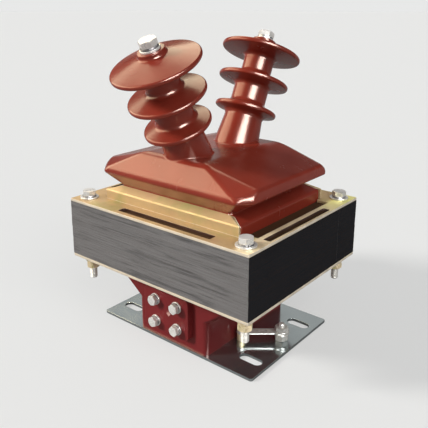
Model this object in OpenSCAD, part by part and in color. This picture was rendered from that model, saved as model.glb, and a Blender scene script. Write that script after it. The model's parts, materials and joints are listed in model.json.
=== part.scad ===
// Cast-resin voltage transformer with two high-voltage bushings in a V.
// Millimetres. +Z is up and the origin is the centre of the base plate's underside.
// +X runs along the core's long side. The low-voltage terminals face -Y.

/* [Core] */
// Length of the laminated core along X
core_length = 240; // [238:0.5:244]
// Depth of the core along Y
core_depth = 200; // [198:0.5:204]
// Height of the stack of laminations
core_stack = 61; // [60:0.5:64]
// Height of the core's underside above the floor
core_bottom = 81; // [80:0.5:84]
// Width of a yoke and of a side limb, and half the centre limb's
yoke_width = 40; // [39:0.25:40.5]

/* [Casting] */
// Length of the rim round the hump
rim_length = 200; // [198:0.5:204]
// Depth of the rim round the hump
rim_depth = 156; // [155:0.5:160]
// Height of the rim's upper edge above the core
rim_rise = 38; // [36:0.5:40]
// Height of the hump's top above the core
hump_rise = 61; // [58:0.5:64]
// Length of the hump's flat top
plateau_length = 80; // [76:1:90]
// Length of the pedestal's foot
foot_length = 96; // [92:1:102]
// Depth of the pedestal
foot_depth = 140; // [138:0.5:142]
// Height at which the pedestal starts to widen
flare_bottom = 40; // [38:0.5:42]

/* [Bushings] */
// Lean of each bushing from the vertical, degrees
bushing_tilt = 25; // [22:0.5:28]
// Length of a bushing along its axis, terminal bolt included
bushing_length = 130; // [127:0.5:136]
// Distance of each bushing's foot from the middle, along Y
bushing_foot_y = 40; // [39:0.5:42]
// Diameter of the top shed
top_shed_d = 90; // [84:1:94]
// Diameter of the middle shed
middle_shed_d = 79; // [74:1:84]
// Diameter of the bottom shed
bottom_shed_d = 69; // [64:1:74]
// Distance between sheds along the axis
shed_pitch = 33.5; // [31:0.5:34]
// Diameter of the stem under the top shed
stem_d = 34; // [32:0.5:38]

/* [Coil] */
// Thickness of the low-voltage winding
lv_build = 6; // [4:0.5:7]
// Thickness of the high-voltage winding
hv_build = 15; // [12:0.5:16]
// Length of the high-voltage winding along Y
hv_length = 100; // [90:1:104]

/* [Clamp frames] */
// Thickness of the flat frames
frame_sheet = 3; // [2:0.25:3.5]
// Width of the long slots beside the casting
frame_slot = 9; // [6:0.5:10]

/* [Base plate] */
// Length of the base plate
plate_length = 210; // [206:1:216]
// Depth of the base plate
plate_depth = 144; // [143:0.5:150]
// Thickness of the base plate
plate_sheet = 3; // [3:0.25:4]
// Distance between slot centres along X
slot_pitch_x = 170; // [164:1:172]
// Distance between slot centres along Y
slot_pitch_y = 90; // [80:1:100]
// Length of a slot, end to end
slot_length = 26; // [18:1:28]
// Width of a slot
slot_width = 11; // [8:0.5:12]

/* [Fasteners] */
// Thread diameter of the core bolts
core_bolt_d = 8; // [7:0.5:8]
// Distance of the core bolts from the middle, along X
core_bolt_x = 106; // [105:0.5:107]
// Distance of the core bolts from the middle, along Y
core_bolt_y = 85; // [84:0.5:86]

/* [Terminals] */
// Distance between low-voltage terminals along X
terminal_pitch_x = 30; // [26:0.5:32]
// Distance between low-voltage terminals along Z
terminal_pitch_z = 25; // [22:0.5:27]
// Distance that the terminal pad stands out of the pedestal
pad_raise = 6; // [4:0.5:8]

/* [Earth] */
// Place of the earth stud along X
earth_x = 88; // [86:0.5:90]
// Place of the earth stud along Y
earth_y = 6; // [0:0.5:8]
// Length of the strap between the earth stud and its post
strap_length = 42.7; // [38:0.5:43]

/* [Hidden] */
$fn = 64;
eps = 0.01;

// core
core_top = core_bottom + core_stack;
core_mid = core_bottom + core_stack / 2;
limb_half = yoke_width;
window_x = core_length / 2 - yoke_width;
window_y = core_depth / 2 - yoke_width;
sleeve_d = core_bolt_d + 3;
bolt_hole_d = core_bolt_d + 1;

// casting above the core, from the skirt up to the hump's flat top
fit_gap = 0.5;
skirt_x = 89.5;
skirt_y = 72.5;
skirt_rise = 13;
waist_x = 73;
waist_y = 66;
waist_rise = 18.6;
lip_rise = rim_rise - 8.5;
shoulder_rise = rim_rise + 7;
rim_x = rim_length / 2;
rim_y = rim_depth / 2;
rim_corner = [12, 14];
plateau_x = plateau_length / 2;
plateau_y = rim_y - 14;
rim_z = core_top + rim_rise;
plateau_z = core_top + hump_rise;

// bent lip of the top clamp frame, which lies on the skirt
lip_sheet = 2;
lip_x = 90;
lip_slope = atan((waist_rise - skirt_rise) / (skirt_y + lip_sheet - waist_y));
lip_inner_rise = skirt_rise - lip_sheet * (1 - sin(lip_slope)) / cos(lip_slope);
lip_end = [waist_y - lip_sheet * sin(lip_slope), core_top + waist_rise - lip_sheet * cos(lip_slope)];

// pedestal
flare_x = 80;
flare_top = flare_bottom + (flare_x - foot_length / 2) * 0.75;

// bushing, heights measured along its axis from its foot
bushing_foot_z = plateau_z - 2.5;
hv_thread_d = 10;
hv_head = [16, 6.4];
hv_washer = [20, 2];
hv_spring_washer = [18, 2.2];
boss_top = bushing_length - hv_head[1] - hv_washer[1] - hv_spring_washer[1];
boss_d = 27;
shed_z = [bushing_length - 25.6, bushing_length - 25.6 - shed_pitch, bushing_length - 25.6 - 2 * shed_pitch];
shed_r = [top_shed_d / 2, middle_shed_d / 2, bottom_shed_d / 2];
stem_r = [stem_d / 2, stem_d / 2 + 2.5, stem_d / 2 + 4, stem_d / 2 + 8];
shed_edge = 2.2;
hv_insert = [16, 31];
hv_insert_hole = 18;
lead_d = 5;

// coil round the centre limb, as builds outside the former
former_hole = [2 * limb_half + 4, core_stack + 4];
former_wall = 2;
insulation_build = 3;
former_length = 112;
lv_length = 108;
insulation_length = 106;
lv_start = former_wall;
insulation_start = lv_start + lv_build;
hv_start = insulation_start + insulation_build;
coil_build = hv_start + hv_build;
coil_top = core_mid + former_hole[1] / 2 + coil_build;

// core bolt stack
hex_8 = [13, 5.3];
washer_8 = [20, 1.6];
spring_8 = [14.5, 1.6];
nut_8 = [13, 6.5];
frame_top = core_top + frame_sheet;
bolt_seat = frame_top + washer_8[1] + spring_8[1];
bolt_length = 98;
frame_bottom = core_bottom - frame_sheet;
nut_top = frame_bottom - washer_8[1];

// low-voltage terminals
pad_size = [62, 46];
pad_centre = [-3, 37];
pad_corner = 5;
pad_y = foot_depth / 2 + pad_raise;
terminal_centre = [-2, 36.5];
lv_thread_d = 6;
lv_insert = [11, 14];
lv_washer = [12.5, 1.6];
lv_spring_washer = [11, 1.5];
lv_head = [10, 4];
lv_lead_d = 2;
pad_mark = [1.4, 37.6];

// base screws
base_screw_x = 32;
base_screw_y = 50;
base_thread_d = 6;
base_insert = [10, 14];

// earth stud, post and strap
earth_d = 8;
strap_angle = atan2(-27.1, -33);
strap_z = 11.1;
strap_sheet = 1.5;
strap_width = 10;
strap_end_d = 13;
earth_washer = [16, 1.6];
earth_tip = 22;
post_d = 9;
post_screw_d = 5;

// steel, resin and the other colours
RESIN = [0.50, 0.16, 0.11];
LAMINATION = [0.22, 0.22, 0.23];
YELLOW_ZINC = [0.78, 0.66, 0.40];
ZINC = [0.75, 0.76, 0.74];
COPPER = [0.72, 0.42, 0.24];
BRASS = [0.78, 0.62, 0.30];
PAPER = [0.80, 0.74, 0.58];

// Outlines and helpers

function mirrored(half) = concat(half, [for (i = [len(half) - 1:-1:0]) [-half[i][0], half[i][1]]]);

function round_edge(r, z) = [
  for (a = [-75:25:75])
    [r - shed_edge + shed_edge * cos(a), z + shed_edge * sin(a)]
];

module along_y(length) {
  rotate([90, 0, 0])
    linear_extrude(length, center = true)
      children();
}

module along_x(length) {
  rotate([90, 0, 90])
    linear_extrude(length, center = true)
      children();
}

module rounded_rect(size, r) {
  square([size[0], size[1] - 2 * r], center = true);
  square([size[0] - 2 * r, size[1]], center = true);
  for (x = [-1, 1], y = [-1, 1])
    translate([x * (size[0] / 2 - r), y * (size[1] / 2 - r)])
      circle(r = r);
}

module block(size, z) {
  translate([-size[0] / 2, -size[1] / 2, z])
    cube(size);
}

module ring(outer, inner, height) {
  difference() {
    cylinder(d = outer, h = height);
    translate([0, 0, -1])
      cylinder(d = inner, h = height + 2);
  }
}

module split_ring(outer, inner, height) {
  difference() {
    ring(outer, inner, height);
    translate([0, -0.6, -1])
      rotate([12, 0, 0])
        cube([outer, 1.2, height + 3]);
  }
}

module hex_prism(flats, height) {
  cylinder(d = flats / cos(30), h = height, $fn = 6);
}

module hex_nut(size, thread) {
  difference() {
    hex_prism(size[0], size[1]);
    translate([0, 0, -1])
      cylinder(d = thread + 0.1, h = size[1] + 2);
  }
}

module at_corners(x, y, z = 0) {
  for (sx = [-1, 1], sy = [-1, 1])
    translate([sx * x, sy * y, z])
      children();
}

module on_bushings() {
  for (side = [-1, 1])
    translate([0, side * bushing_foot_y, bushing_foot_z])
      rotate([-side * bushing_tilt, 0, 0])
        children();
}

// places children on each low-voltage terminal, their +Z out of the pad
module on_terminals(out = 0) {
  for (sx = [-1, 1], sz = [-1, 1])
    translate([
      terminal_centre[0] + sx * terminal_pitch_x / 2,
      -pad_y - out,
      terminal_centre[1] + sz * terminal_pitch_z / 2
    ])
      rotate([90, 0, 0])
        children();
}

// a big block on the far side of the plane through three points
module beyond(p, q, r) {
  n = cross(q - p, r - p);
  translate(p)
    rotate([0, acos(n[2] / norm(n)), atan2(n[1], n[0])])
      translate([-70, -70, 0])
        cube([140, 140, 40]);
}

// Resin casting

module hump() {
  half_x = [
    [skirt_x, core_top], [skirt_x, core_top + skirt_rise], [waist_x, core_top + waist_rise],
    [rim_x - 0.5, core_top + lip_rise], [rim_x, rim_z], [rim_x - 1, core_top + shoulder_rise],
    [plateau_x, plateau_z]
  ];
  half_y = [
    [skirt_y, core_top], [skirt_y, core_top + lip_inner_rise], [lip_end[0] - 0.7, lip_end[1]],
    [waist_y, core_top + waist_rise], [rim_y - 0.5, core_top + lip_rise], [rim_y, rim_z],
    [plateau_y, plateau_z]
  ];
  side_end = [rim_x, -rim_y + rim_corner[1], rim_z];
  front_end = [rim_x - rim_corner[0], -rim_y, rim_z];
  shoulder = [rim_x - 1, -rim_y + 20.3, core_top + shoulder_rise];
  top_corner = [plateau_x, -plateau_y, plateau_z];
  difference() {
    intersection() {
      along_y(rim_depth)
        polygon(mirrored(half_x));
      along_x(rim_length)
        polygon(mirrored(half_y));
      translate([0, 0, core_top])
        linear_extrude(hump_rise)
          polygon([
            for (q = [[1, 1, 0], [-1, 1, 1], [-1, -1, 0], [1, -1, 1]], k = [0, 1])
              k == q[2] ? [q[0] * rim_x, q[1] * (rim_y - rim_corner[1])]
                : [q[0] * (rim_x - rim_corner[0]), q[1] * rim_y]
          ]);
    }
    for (mx = [0, 1], my = [0, 1])
      mirror([mx, 0, 0])
        mirror([0, my, 0]) {
          beyond(front_end, shoulder, top_corner);
          beyond(side_end, shoulder, front_end);
        }
  }
}

module bushing() {
  rotate_extrude($fn = 96)
    polygon(concat(
      [[0, -14], [26.5, -14], [26.5, -1.5], [stem_r[3], 2.5]],
      [[stem_r[2], shed_z[2] - 5.5]],
      round_edge(shed_r[2], shed_z[2]),
      [[stem_r[1], shed_z[2] + 6.5], [stem_r[1], shed_z[1] - 5]],
      round_edge(shed_r[1], shed_z[1]),
      [[stem_r[0], shed_z[1] + 7.5], [stem_r[0], shed_z[0] - 5]],
      round_edge(shed_r[0], shed_z[0]),
      [[boss_d / 2, shed_z[0] + 10], [boss_d / 2, boss_top - 0.8], [boss_d / 2 - 0.8, boss_top]],
      [[0, boss_top]]
    ));
}

// columns through the two windows of the core
module window_columns() {
  width = window_x - limb_half - 2 * fit_gap;
  for (side = [-1, 1])
    translate([side * (window_x + limb_half) / 2, 0, 0])
      block([width, 2 * (window_y - fit_gap), core_stack + 2], core_bottom - 1);
}

module pedestal() {
  half = [
    [foot_length / 2, flare_bottom - 10], [foot_length / 2, flare_bottom], [flare_x, flare_top],
    [flare_x, core_bottom]
  ];
  translate([0, 0, plate_sheet])
    linear_extrude(flare_bottom - plate_sheet)
      rounded_rect([foot_length, foot_depth], 5);
  along_y(foot_depth - 10)
    polygon(mirrored(half));
  // the flare's front and back keep the foot's rounded corners
  intersection() {
    along_y(foot_depth)
      polygon(mirrored(half));
    translate([0, 0, flare_bottom - 10])
      linear_extrude(core_bottom)
        rounded_rect([2 * flare_x, foot_depth], 5);
    translate([0, 0, flare_bottom])
      block([2 * flare_x, foot_depth, core_bottom], 0);
  }
}

module terminal_pad() {
  translate([pad_centre[0], -foot_depth / 2 + 5 - (5 + pad_raise) / 2, pad_centre[1]])
    along_y(5 + pad_raise)
      rounded_rect(pad_size, pad_corner);
  translate([pad_mark[0], -pad_y, pad_mark[1]])
    rotate([0, 45, 0])
      cube([4.2, 1, 4.2], center = true);
}

module coil_space() {
  difference() {
    union() {
      coil_block(former_wall, former_length);
      coil_block(insulation_start, lv_length);
      coil_block(hv_start, insulation_length);
      coil_block(coil_build, hv_length);
    }
    coil_block(0, former_length + 2);
  }
}

module resin_body() {
  color(RESIN)
    difference() {
      union() {
        hump();
        on_bushings()
          bushing();
        window_columns();
        pedestal();
        terminal_pad();
      }
      coil_space();
      hv_lead_shapes();
      on_bushings()
        translate([0, 0, boss_top - hv_insert[1]])
          cylinder(d = hv_insert[0], h = hv_insert[1] + 1);
      lv_lead_shapes();
      on_terminals(-lv_insert[1])
        cylinder(d = lv_insert[0], h = lv_insert[1] + 2);
      at_corners(base_screw_x, base_screw_y, plate_sheet - 1)
        cylinder(d = base_insert[0], h = base_insert[1] + 1);
    }
}

// Core

module core_bolt_holes(d) {
  at_corners(core_bolt_x, core_bolt_y, -1)
    cylinder(d = d, h = core_top + 40);
}

module core_e_stack() {
  color(LAMINATION)
    difference() {
      translate([-core_length / 2, -core_depth / 2, core_bottom])
        cube([core_length, core_depth - yoke_width, core_stack]);
      for (side = [-1, 1])
        translate([side * (window_x + limb_half) / 2, 10, 0])
          block([window_x - limb_half, 2 * window_y + 20, core_stack + 2], core_bottom - 1);
      core_bolt_holes(sleeve_d);
    }
}

module core_i_stack() {
  color(LAMINATION)
    difference() {
      translate([-core_length / 2, window_y, core_bottom])
        cube([core_length, yoke_width, core_stack]);
      core_bolt_holes(sleeve_d);
    }
}

// Clamp frames

module frame_lips() {
  half_y = [
    [skirt_y + lip_sheet, core_top + eps], [skirt_y + lip_sheet, core_top + skirt_rise],
    [waist_y, core_top + waist_rise], lip_end, [skirt_y, core_top + lip_inner_rise],
    [skirt_y, core_top + eps]
  ];
  half_x = [[lip_x, core_top], [lip_x, core_top + skirt_rise], [waist_x, core_top + waist_rise]];
  intersection() {
    for (side = [0, 1])
      mirror([0, side, 0])
        along_x(2 * lip_x)
          polygon(half_y);
    along_y(core_depth)
      polygon(mirrored(half_x));
  }
}

module top_clamp_frame() {
  color(YELLOW_ZINC)
    difference() {
      union() {
        block([core_length, core_depth, frame_sheet], core_top);
        frame_lips();
      }
      block([2 * lip_x + 1, 2 * skirt_y, 30], core_top - 1);
      block([208, 129, 30], core_top - 1);
      // the slots repeat when the frame is turned by half a turn
      for (turn = [0, 180])
        rotate([0, 0, turn]) {
          translate([-50, -94, core_top - 1])
            cube([122, frame_slot, frame_sheet + 2]);
          translate([109.5, -64, core_top - 1])
            cube([7.5, 109, frame_sheet + 2]);
        }
      core_bolt_holes(bolt_hole_d);
    }
}

module bottom_clamp_frame() {
  color(YELLOW_ZINC)
    difference() {
      block([core_length, core_depth, frame_sheet], frame_bottom);
      block([2 * flare_x + 8, foot_depth + 6, frame_sheet + 2], frame_bottom - 1);
      core_bolt_holes(bolt_hole_d);
    }
}

module core_bolts() {
  color(ZINC)
    at_corners(core_bolt_x, core_bolt_y, bolt_seat) {
      hex_prism(hex_8[0], hex_8[1]);
      translate([0, 0, -bolt_length])
        cylinder(d = core_bolt_d, h = bolt_length + 1);
    }
}

module core_bolt_sleeves() {
  color(PAPER)
    at_corners(core_bolt_x, core_bolt_y, core_bottom)
      ring(sleeve_d, core_bolt_d + 0.4, core_stack);
}

module top_washers() {
  color(ZINC)
    at_corners(core_bolt_x, core_bolt_y, frame_top)
      ring(washer_8[0], core_bolt_d + 0.4, washer_8[1]);
}

module top_spring_washers() {
  color(ZINC)
    at_corners(core_bolt_x, core_bolt_y, frame_top + washer_8[1])
      split_ring(spring_8[0], core_bolt_d + 0.4, spring_8[1]);
}

module bottom_washers() {
  color(YELLOW_ZINC)
    at_corners(core_bolt_x, core_bolt_y, nut_top)
      ring(washer_8[0], core_bolt_d + 0.4, washer_8[1]);
}

module core_nuts() {
  color(YELLOW_ZINC)
    at_corners(core_bolt_x, core_bolt_y, nut_top - nut_8[1])
      hex_nut(nut_8, core_bolt_d);
}

module core_locknuts() {
  color(YELLOW_ZINC)
    at_corners(core_bolt_x, core_bolt_y, nut_top - 2 * nut_8[1])
      rotate([0, 0, 20])
        hex_nut(nut_8, core_bolt_d);
}

// Base plate

module slot_cut() {
  straight = slot_length - slot_width;
  translate([-straight / 2, -slot_width / 2, -1])
    cube([straight, slot_width, plate_sheet + 2]);
  for (side = [-1, 1])
    translate([side * straight / 2, 0, -1])
      cylinder(d = slot_width, h = plate_sheet + 2);
}

module base_plate() {
  color(ZINC)
    difference() {
      linear_extrude(plate_sheet)
        rounded_rect([plate_length, plate_depth], 3);
      at_corners(slot_pitch_x / 2, slot_pitch_y / 2)
        slot_cut();
      at_corners(base_screw_x, base_screw_y) {
        translate([0, 0, -1])
          cylinder(d = base_thread_d + 0.4, h = plate_sheet + 2);
        cylinder(d1 = 2 * base_thread_d + 0.4, d2 = base_thread_d + 0.4, h = plate_sheet);
      }
      translate([earth_x, earth_y, -1])
        cylinder(d = earth_d, h = plate_sheet + 2);
      at_post(-1)
        cylinder(d = post_screw_d, h = plate_sheet + 2);
    }
}

module base_inserts() {
  color(BRASS)
    at_corners(base_screw_x, base_screw_y, plate_sheet)
      difference() {
        cylinder(d = base_insert[0], h = base_insert[1]);
        translate([0, 0, -1])
          cylinder(d = base_thread_d, h = base_insert[1] - 1);
      }
}

module base_screws() {
  color(ZINC)
    at_corners(base_screw_x, base_screw_y, 0.2)
      difference() {
        union() {
          cylinder(d1 = 2 * base_thread_d - 0.2, d2 = base_thread_d - 0.2, h = plate_sheet - 0.2);
          cylinder(d = base_thread_d - 0.2, h = 13);
        }
        translate([0, 0, -1])
          hex_prism(4, 2.8);
      }
}

// Coil

module coil_block(build, length) {
  translate([0, 0, core_mid])
    along_y(length)
      rounded_rect(former_hole + [2 * build, 2 * build], 3 + build);
}

module coil_tube(inner, outer, length) {
  difference() {
    coil_block(outer, length);
    coil_block(inner, length + 2);
  }
}

module coil_former() {
  color(PAPER)
    coil_tube(0, lv_start, former_length);
}

module lv_winding() {
  color(COPPER)
    coil_tube(lv_start, insulation_start, lv_length);
}

module winding_insulation() {
  color(PAPER)
    coil_tube(insulation_start, hv_start, insulation_length);
}

module hv_winding() {
  color(COPPER)
    coil_tube(hv_start, coil_build, hv_length);
}

// High-voltage terminals

// rods from the coil's top up the bushings' axes
module hv_lead_shapes() {
  start = (coil_top - bushing_foot_z) / cos(bushing_tilt) - 4;
  difference() {
    on_bushings()
      translate([0, 0, start])
        cylinder(d = lead_d, h = boss_top - hv_insert[1] - start);
    block([100, 100, 40], coil_top - 40);
  }
}

module hv_leads() {
  color(COPPER)
    hv_lead_shapes();
}

module hv_inserts() {
  color(BRASS)
    on_bushings()
      translate([0, 0, boss_top - hv_insert[1]])
        difference() {
          cylinder(d = hv_insert[0], h = hv_insert[1]);
          translate([0, 0, hv_insert[1] - hv_insert_hole])
            cylinder(d = hv_thread_d, h = hv_insert_hole + 1);
        }
}

module hv_bolts() {
  seat = boss_top + hv_washer[1] + hv_spring_washer[1];
  color(ZINC)
    on_bushings() {
      translate([0, 0, seat])
        hex_prism(hv_head[0], hv_head[1]);
      translate([0, 0, boss_top - 16])
        cylinder(d = hv_thread_d - 0.2, h = seat - boss_top + 17);
    }
}

module hv_washers() {
  color(ZINC)
    on_bushings()
      translate([0, 0, boss_top])
        ring(hv_washer[0], hv_thread_d + 0.5, hv_washer[1]);
}

module hv_spring_washers() {
  color(ZINC)
    on_bushings()
      translate([0, 0, boss_top + hv_washer[1]])
        split_ring(hv_spring_washer[0], hv_thread_d + 0.5, hv_spring_washer[1]);
}

// Low-voltage terminals

// bent wires from the coil's front end down to the inserts' back ends
module lv_lead_shapes() {
  end_y = -lv_length / 2;
  insert_back = -pad_y + lv_insert[1];
  wire_z = core_mid - former_hole[1] / 2 - lv_start - lv_build / 2;
  for (sx = [-1, 1], sz = [-1, 1]) {
    x = terminal_centre[0] + sx * terminal_pitch_x / 2;
    z = terminal_centre[1] + sz * terminal_pitch_z / 2;
    drop_y = end_y - (sz > 0 ? 5.5 : 2.5);
    top_z = wire_z + sz * 1.4;
    translate([x, end_y, top_z])
      rotate([90, 0, 0])
        cylinder(d = lv_lead_d, h = end_y - drop_y, $fn = 24);
    translate([x, drop_y, top_z])
      sphere(d = lv_lead_d, $fn = 24);
    translate([x, drop_y, z])
      cylinder(d = lv_lead_d, h = top_z - z, $fn = 24);
    translate([x, drop_y, z])
      sphere(d = lv_lead_d, $fn = 24);
    translate([x, drop_y, z])
      rotate([90, 0, 0])
        cylinder(d = lv_lead_d, h = drop_y - insert_back, $fn = 24);
  }
}

module lv_leads() {
  color(COPPER)
    lv_lead_shapes();
}

module lv_inserts() {
  color(BRASS)
    on_terminals(-lv_insert[1])
      difference() {
        cylinder(d = lv_insert[0], h = lv_insert[1]);
        translate([0, 0, 2])
          cylinder(d = lv_thread_d, h = lv_insert[1]);
      }
}

module lv_bolts() {
  seat = lv_washer[1] + lv_spring_washer[1];
  color(ZINC)
    on_terminals() {
      translate([0, 0, seat])
        hex_prism(lv_head[0], lv_head[1]);
      translate([0, 0, -11])
        cylinder(d = lv_thread_d - 0.2, h = seat + 12);
    }
}

module lv_washers() {
  color(ZINC)
    on_terminals()
      ring(lv_washer[0], lv_thread_d + 0.4, lv_washer[1]);
}

module lv_spring_washers() {
  color(ZINC)
    on_terminals(lv_washer[1])
      split_ring(lv_spring_washer[0], lv_thread_d + 0.4, lv_spring_washer[1]);
}

// Earth stud, post and strap

module at_post(z) {
  translate([earth_x + strap_length * cos(strap_angle), earth_y + strap_length * sin(strap_angle), z])
    children();
}

module earth_stud() {
  color(ZINC)
    translate([earth_x, earth_y, 0])
      cylinder(d = earth_d, h = earth_tip);
}

module earth_lower_nut() {
  height = strap_z - earth_washer[1] - plate_sheet;
  color(ZINC)
    translate([earth_x, earth_y, plate_sheet])
      hex_nut([13, height], earth_d);
}

module earth_washers() {
  color(ZINC)
    for (z = [strap_z - earth_washer[1], strap_z + strap_sheet])
      translate([earth_x, earth_y, z])
        ring(earth_washer[0], earth_d + 0.4, earth_washer[1]);
}

module earth_upper_nut() {
  color(ZINC)
    translate([earth_x, earth_y, strap_z + strap_sheet + earth_washer[1]])
      rotate([0, 0, 15])
        hex_nut([13, 4], earth_d);
}

module earth_post() {
  color(YELLOW_ZINC)
    at_post(0)
      difference() {
        union() {
          cylinder(d = post_screw_d, h = plate_sheet + 1);
          translate([0, 0, plate_sheet])
            cylinder(d = post_d, h = strap_z - plate_sheet);
        }
        translate([0, 0, plate_sheet + 1.5])
          cylinder(d = post_screw_d, h = strap_z);
      }
}

module earth_post_screw() {
  color(ZINC)
    at_post(strap_z + strap_sheet)
      difference() {
        union() {
          cylinder(d = post_d, h = 3);
          translate([0, 0, -7.5])
            cylinder(d = post_screw_d - 0.2, h = 8);
        }
        translate([-post_d, -0.6, 1.8])
          cube([2 * post_d, 1.2, 2]);
      }
}

module earth_strap() {
  color(ZINC)
    translate([earth_x, earth_y, strap_z])
      rotate([0, 0, strap_angle])
        difference() {
          union() {
            translate([0, -strap_width / 2, 0])
              cube([strap_length, strap_width, strap_sheet]);
            cylinder(d = strap_end_d, h = strap_sheet);
            translate([strap_length, 0, 0])
              cylinder(d = strap_width, h = strap_sheet);
          }
          translate([0, 0, -1])
            cylinder(d = earth_d + 0.4, h = strap_sheet + 2);
          translate([strap_length, 0, -1])
            cylinder(d = post_screw_d + 0.2, h = strap_sheet + 2);
        }
}

resin_body();
core_e_stack();
core_i_stack();
top_clamp_frame();
bottom_clamp_frame();
core_bolts();
core_bolt_sleeves();
top_washers();
top_spring_washers();
bottom_washers();
core_nuts();
core_locknuts();
base_plate();
base_inserts();
base_screws();
coil_former();
lv_winding();
winding_insulation();
hv_winding();
hv_leads();
hv_inserts();
hv_bolts();
hv_washers();
hv_spring_washers();
lv_leads();
lv_inserts();
lv_bolts();
lv_washers();
lv_spring_washers();
earth_stud();
earth_lower_nut();
earth_washers();
earth_upper_nut();
earth_post();
earth_post_screw();
earth_strap();
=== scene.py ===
import json
import math
import random

import bmesh
import bpy
from bpy.props import FloatProperty, FloatVectorProperty, IntProperty, PointerProperty
from mathutils import Matrix, Vector
from mathutils.bvhtree import BVHTree


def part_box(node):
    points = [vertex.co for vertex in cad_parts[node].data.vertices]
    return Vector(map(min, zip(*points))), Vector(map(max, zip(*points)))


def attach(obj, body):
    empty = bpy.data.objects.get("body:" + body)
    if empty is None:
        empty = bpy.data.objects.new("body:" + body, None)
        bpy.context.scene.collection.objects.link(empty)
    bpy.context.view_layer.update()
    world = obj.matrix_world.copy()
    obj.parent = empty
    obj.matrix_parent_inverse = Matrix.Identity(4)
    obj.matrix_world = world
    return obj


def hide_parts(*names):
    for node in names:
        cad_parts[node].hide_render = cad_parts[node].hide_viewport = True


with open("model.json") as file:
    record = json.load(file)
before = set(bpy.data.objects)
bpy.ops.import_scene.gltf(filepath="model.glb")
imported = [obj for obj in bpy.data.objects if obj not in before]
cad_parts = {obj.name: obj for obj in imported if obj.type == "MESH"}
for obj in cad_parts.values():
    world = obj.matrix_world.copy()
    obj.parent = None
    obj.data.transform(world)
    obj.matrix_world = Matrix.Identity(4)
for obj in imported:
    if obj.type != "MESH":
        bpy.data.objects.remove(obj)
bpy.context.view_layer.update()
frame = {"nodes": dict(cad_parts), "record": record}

bl_info = {
    "name": "Voltage transformer",
    "version": (1, 0, 0),
    "blender": (4, 5, 0),
    "location": "3D View > Sidebar > Transformer",
    "description": "Builds a cast-resin voltage transformer round its CAD frame, and the stage it stands on",
    "category": "Object",
}

MM = 0.001
# Facets round the circles of hexagons, the post and the slotted screw
SIDES = 48
CORNERS = [(sx, sy) for sx in (-1, 1) for sy in (-1, 1)]


def cad(node):
    """Lowest and highest corner of a CAD node, in millimetres."""
    low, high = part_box(node)
    return low / MM, high / MM


# Sizes and colours

def length(name, description, default):
    """A length property, given in millimetres and kept in metres."""
    return FloatProperty(name=name, description=description, default=default * MM, min=0.0, precision=4,
                         subtype="DISTANCE", unit="LENGTH")


def angle(name, description, degrees):
    """An angle property, given in degrees and kept in radians."""
    return FloatProperty(name=name, description=description, default=math.radians(degrees), subtype="ANGLE",
                         unit="ROTATION")


def colour(name, description, default):
    """A colour property."""
    return FloatVectorProperty(name=name, description=description, default=default, size=3, min=0.0, max=1.0,
                               subtype="COLOR")


def amount(name, description, default, top=1.0):
    """A plain number property from 0 to top."""
    return FloatProperty(name=name, description=description, default=default, min=0.0, max=top,
                         subtype="FACTOR")


class CastingSizes(bpy.types.PropertyGroup):
    """Sizes of the resin casting."""
    rim_height: length("Rim height", "Height of the rim round the hump", 180)
    rim_depth: length("Rim depth", "Size of the rim along Y", 156)
    plateau_height: length("Plateau height", "Height of the hump's flat top", 203)
    plateau_length: length("Plateau length", "Size of the flat top along X", 80)
    plateau_depth: length("Plateau depth", "Size of the flat top along Y", 128)
    edge_round: length("Edge rounding", "Rounding of the flat top's edge; other edges take a part of it", 5)
    shed_round: length("Shed rounding", "Rounding between a bushing's stem and its sheds", 5)
    foot_fillet: length("Foot fillet", "Fillet where a bushing's stem meets the hump", 1.7)
    bushing_lean: angle("Bushing lean", "Lean of each bushing from the vertical", 25)
    bushing_steps: IntProperty(name="Bushing steps", description="Facets round a bushing", default=128,
                               min=24, max=256)
    pedestal_round: length("Pedestal rounding", "Rounding of the pedestal's upright edges", 5)
    pad_round: length("Pad rounding", "Rounding of the terminal pad's front edge", 1.0)


class MetalSizes(bpy.types.PropertyGroup):
    """Sizes of the core, the frames and the fasteners."""
    sheet_thickness: length("Lamination", "Thickness of one sheet of the core", 0.5)
    sheet_stagger: length("Stagger", "How far a sheet of the core may lie out of line", 0.16)
    frame_edge: length("Frame edge", "Rounding of the clamp frames' edges", 0.5)
    plate_edge: length("Plate edge", "Rounding of the base plate's edges", 0.4)
    fold_round: length("Fold rounding", "Outer radius of the fold in the frame's lip", 2.6)
    washer_edge: length("Washer edge", "Rounding of the washers' edges", 0.35)


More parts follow.
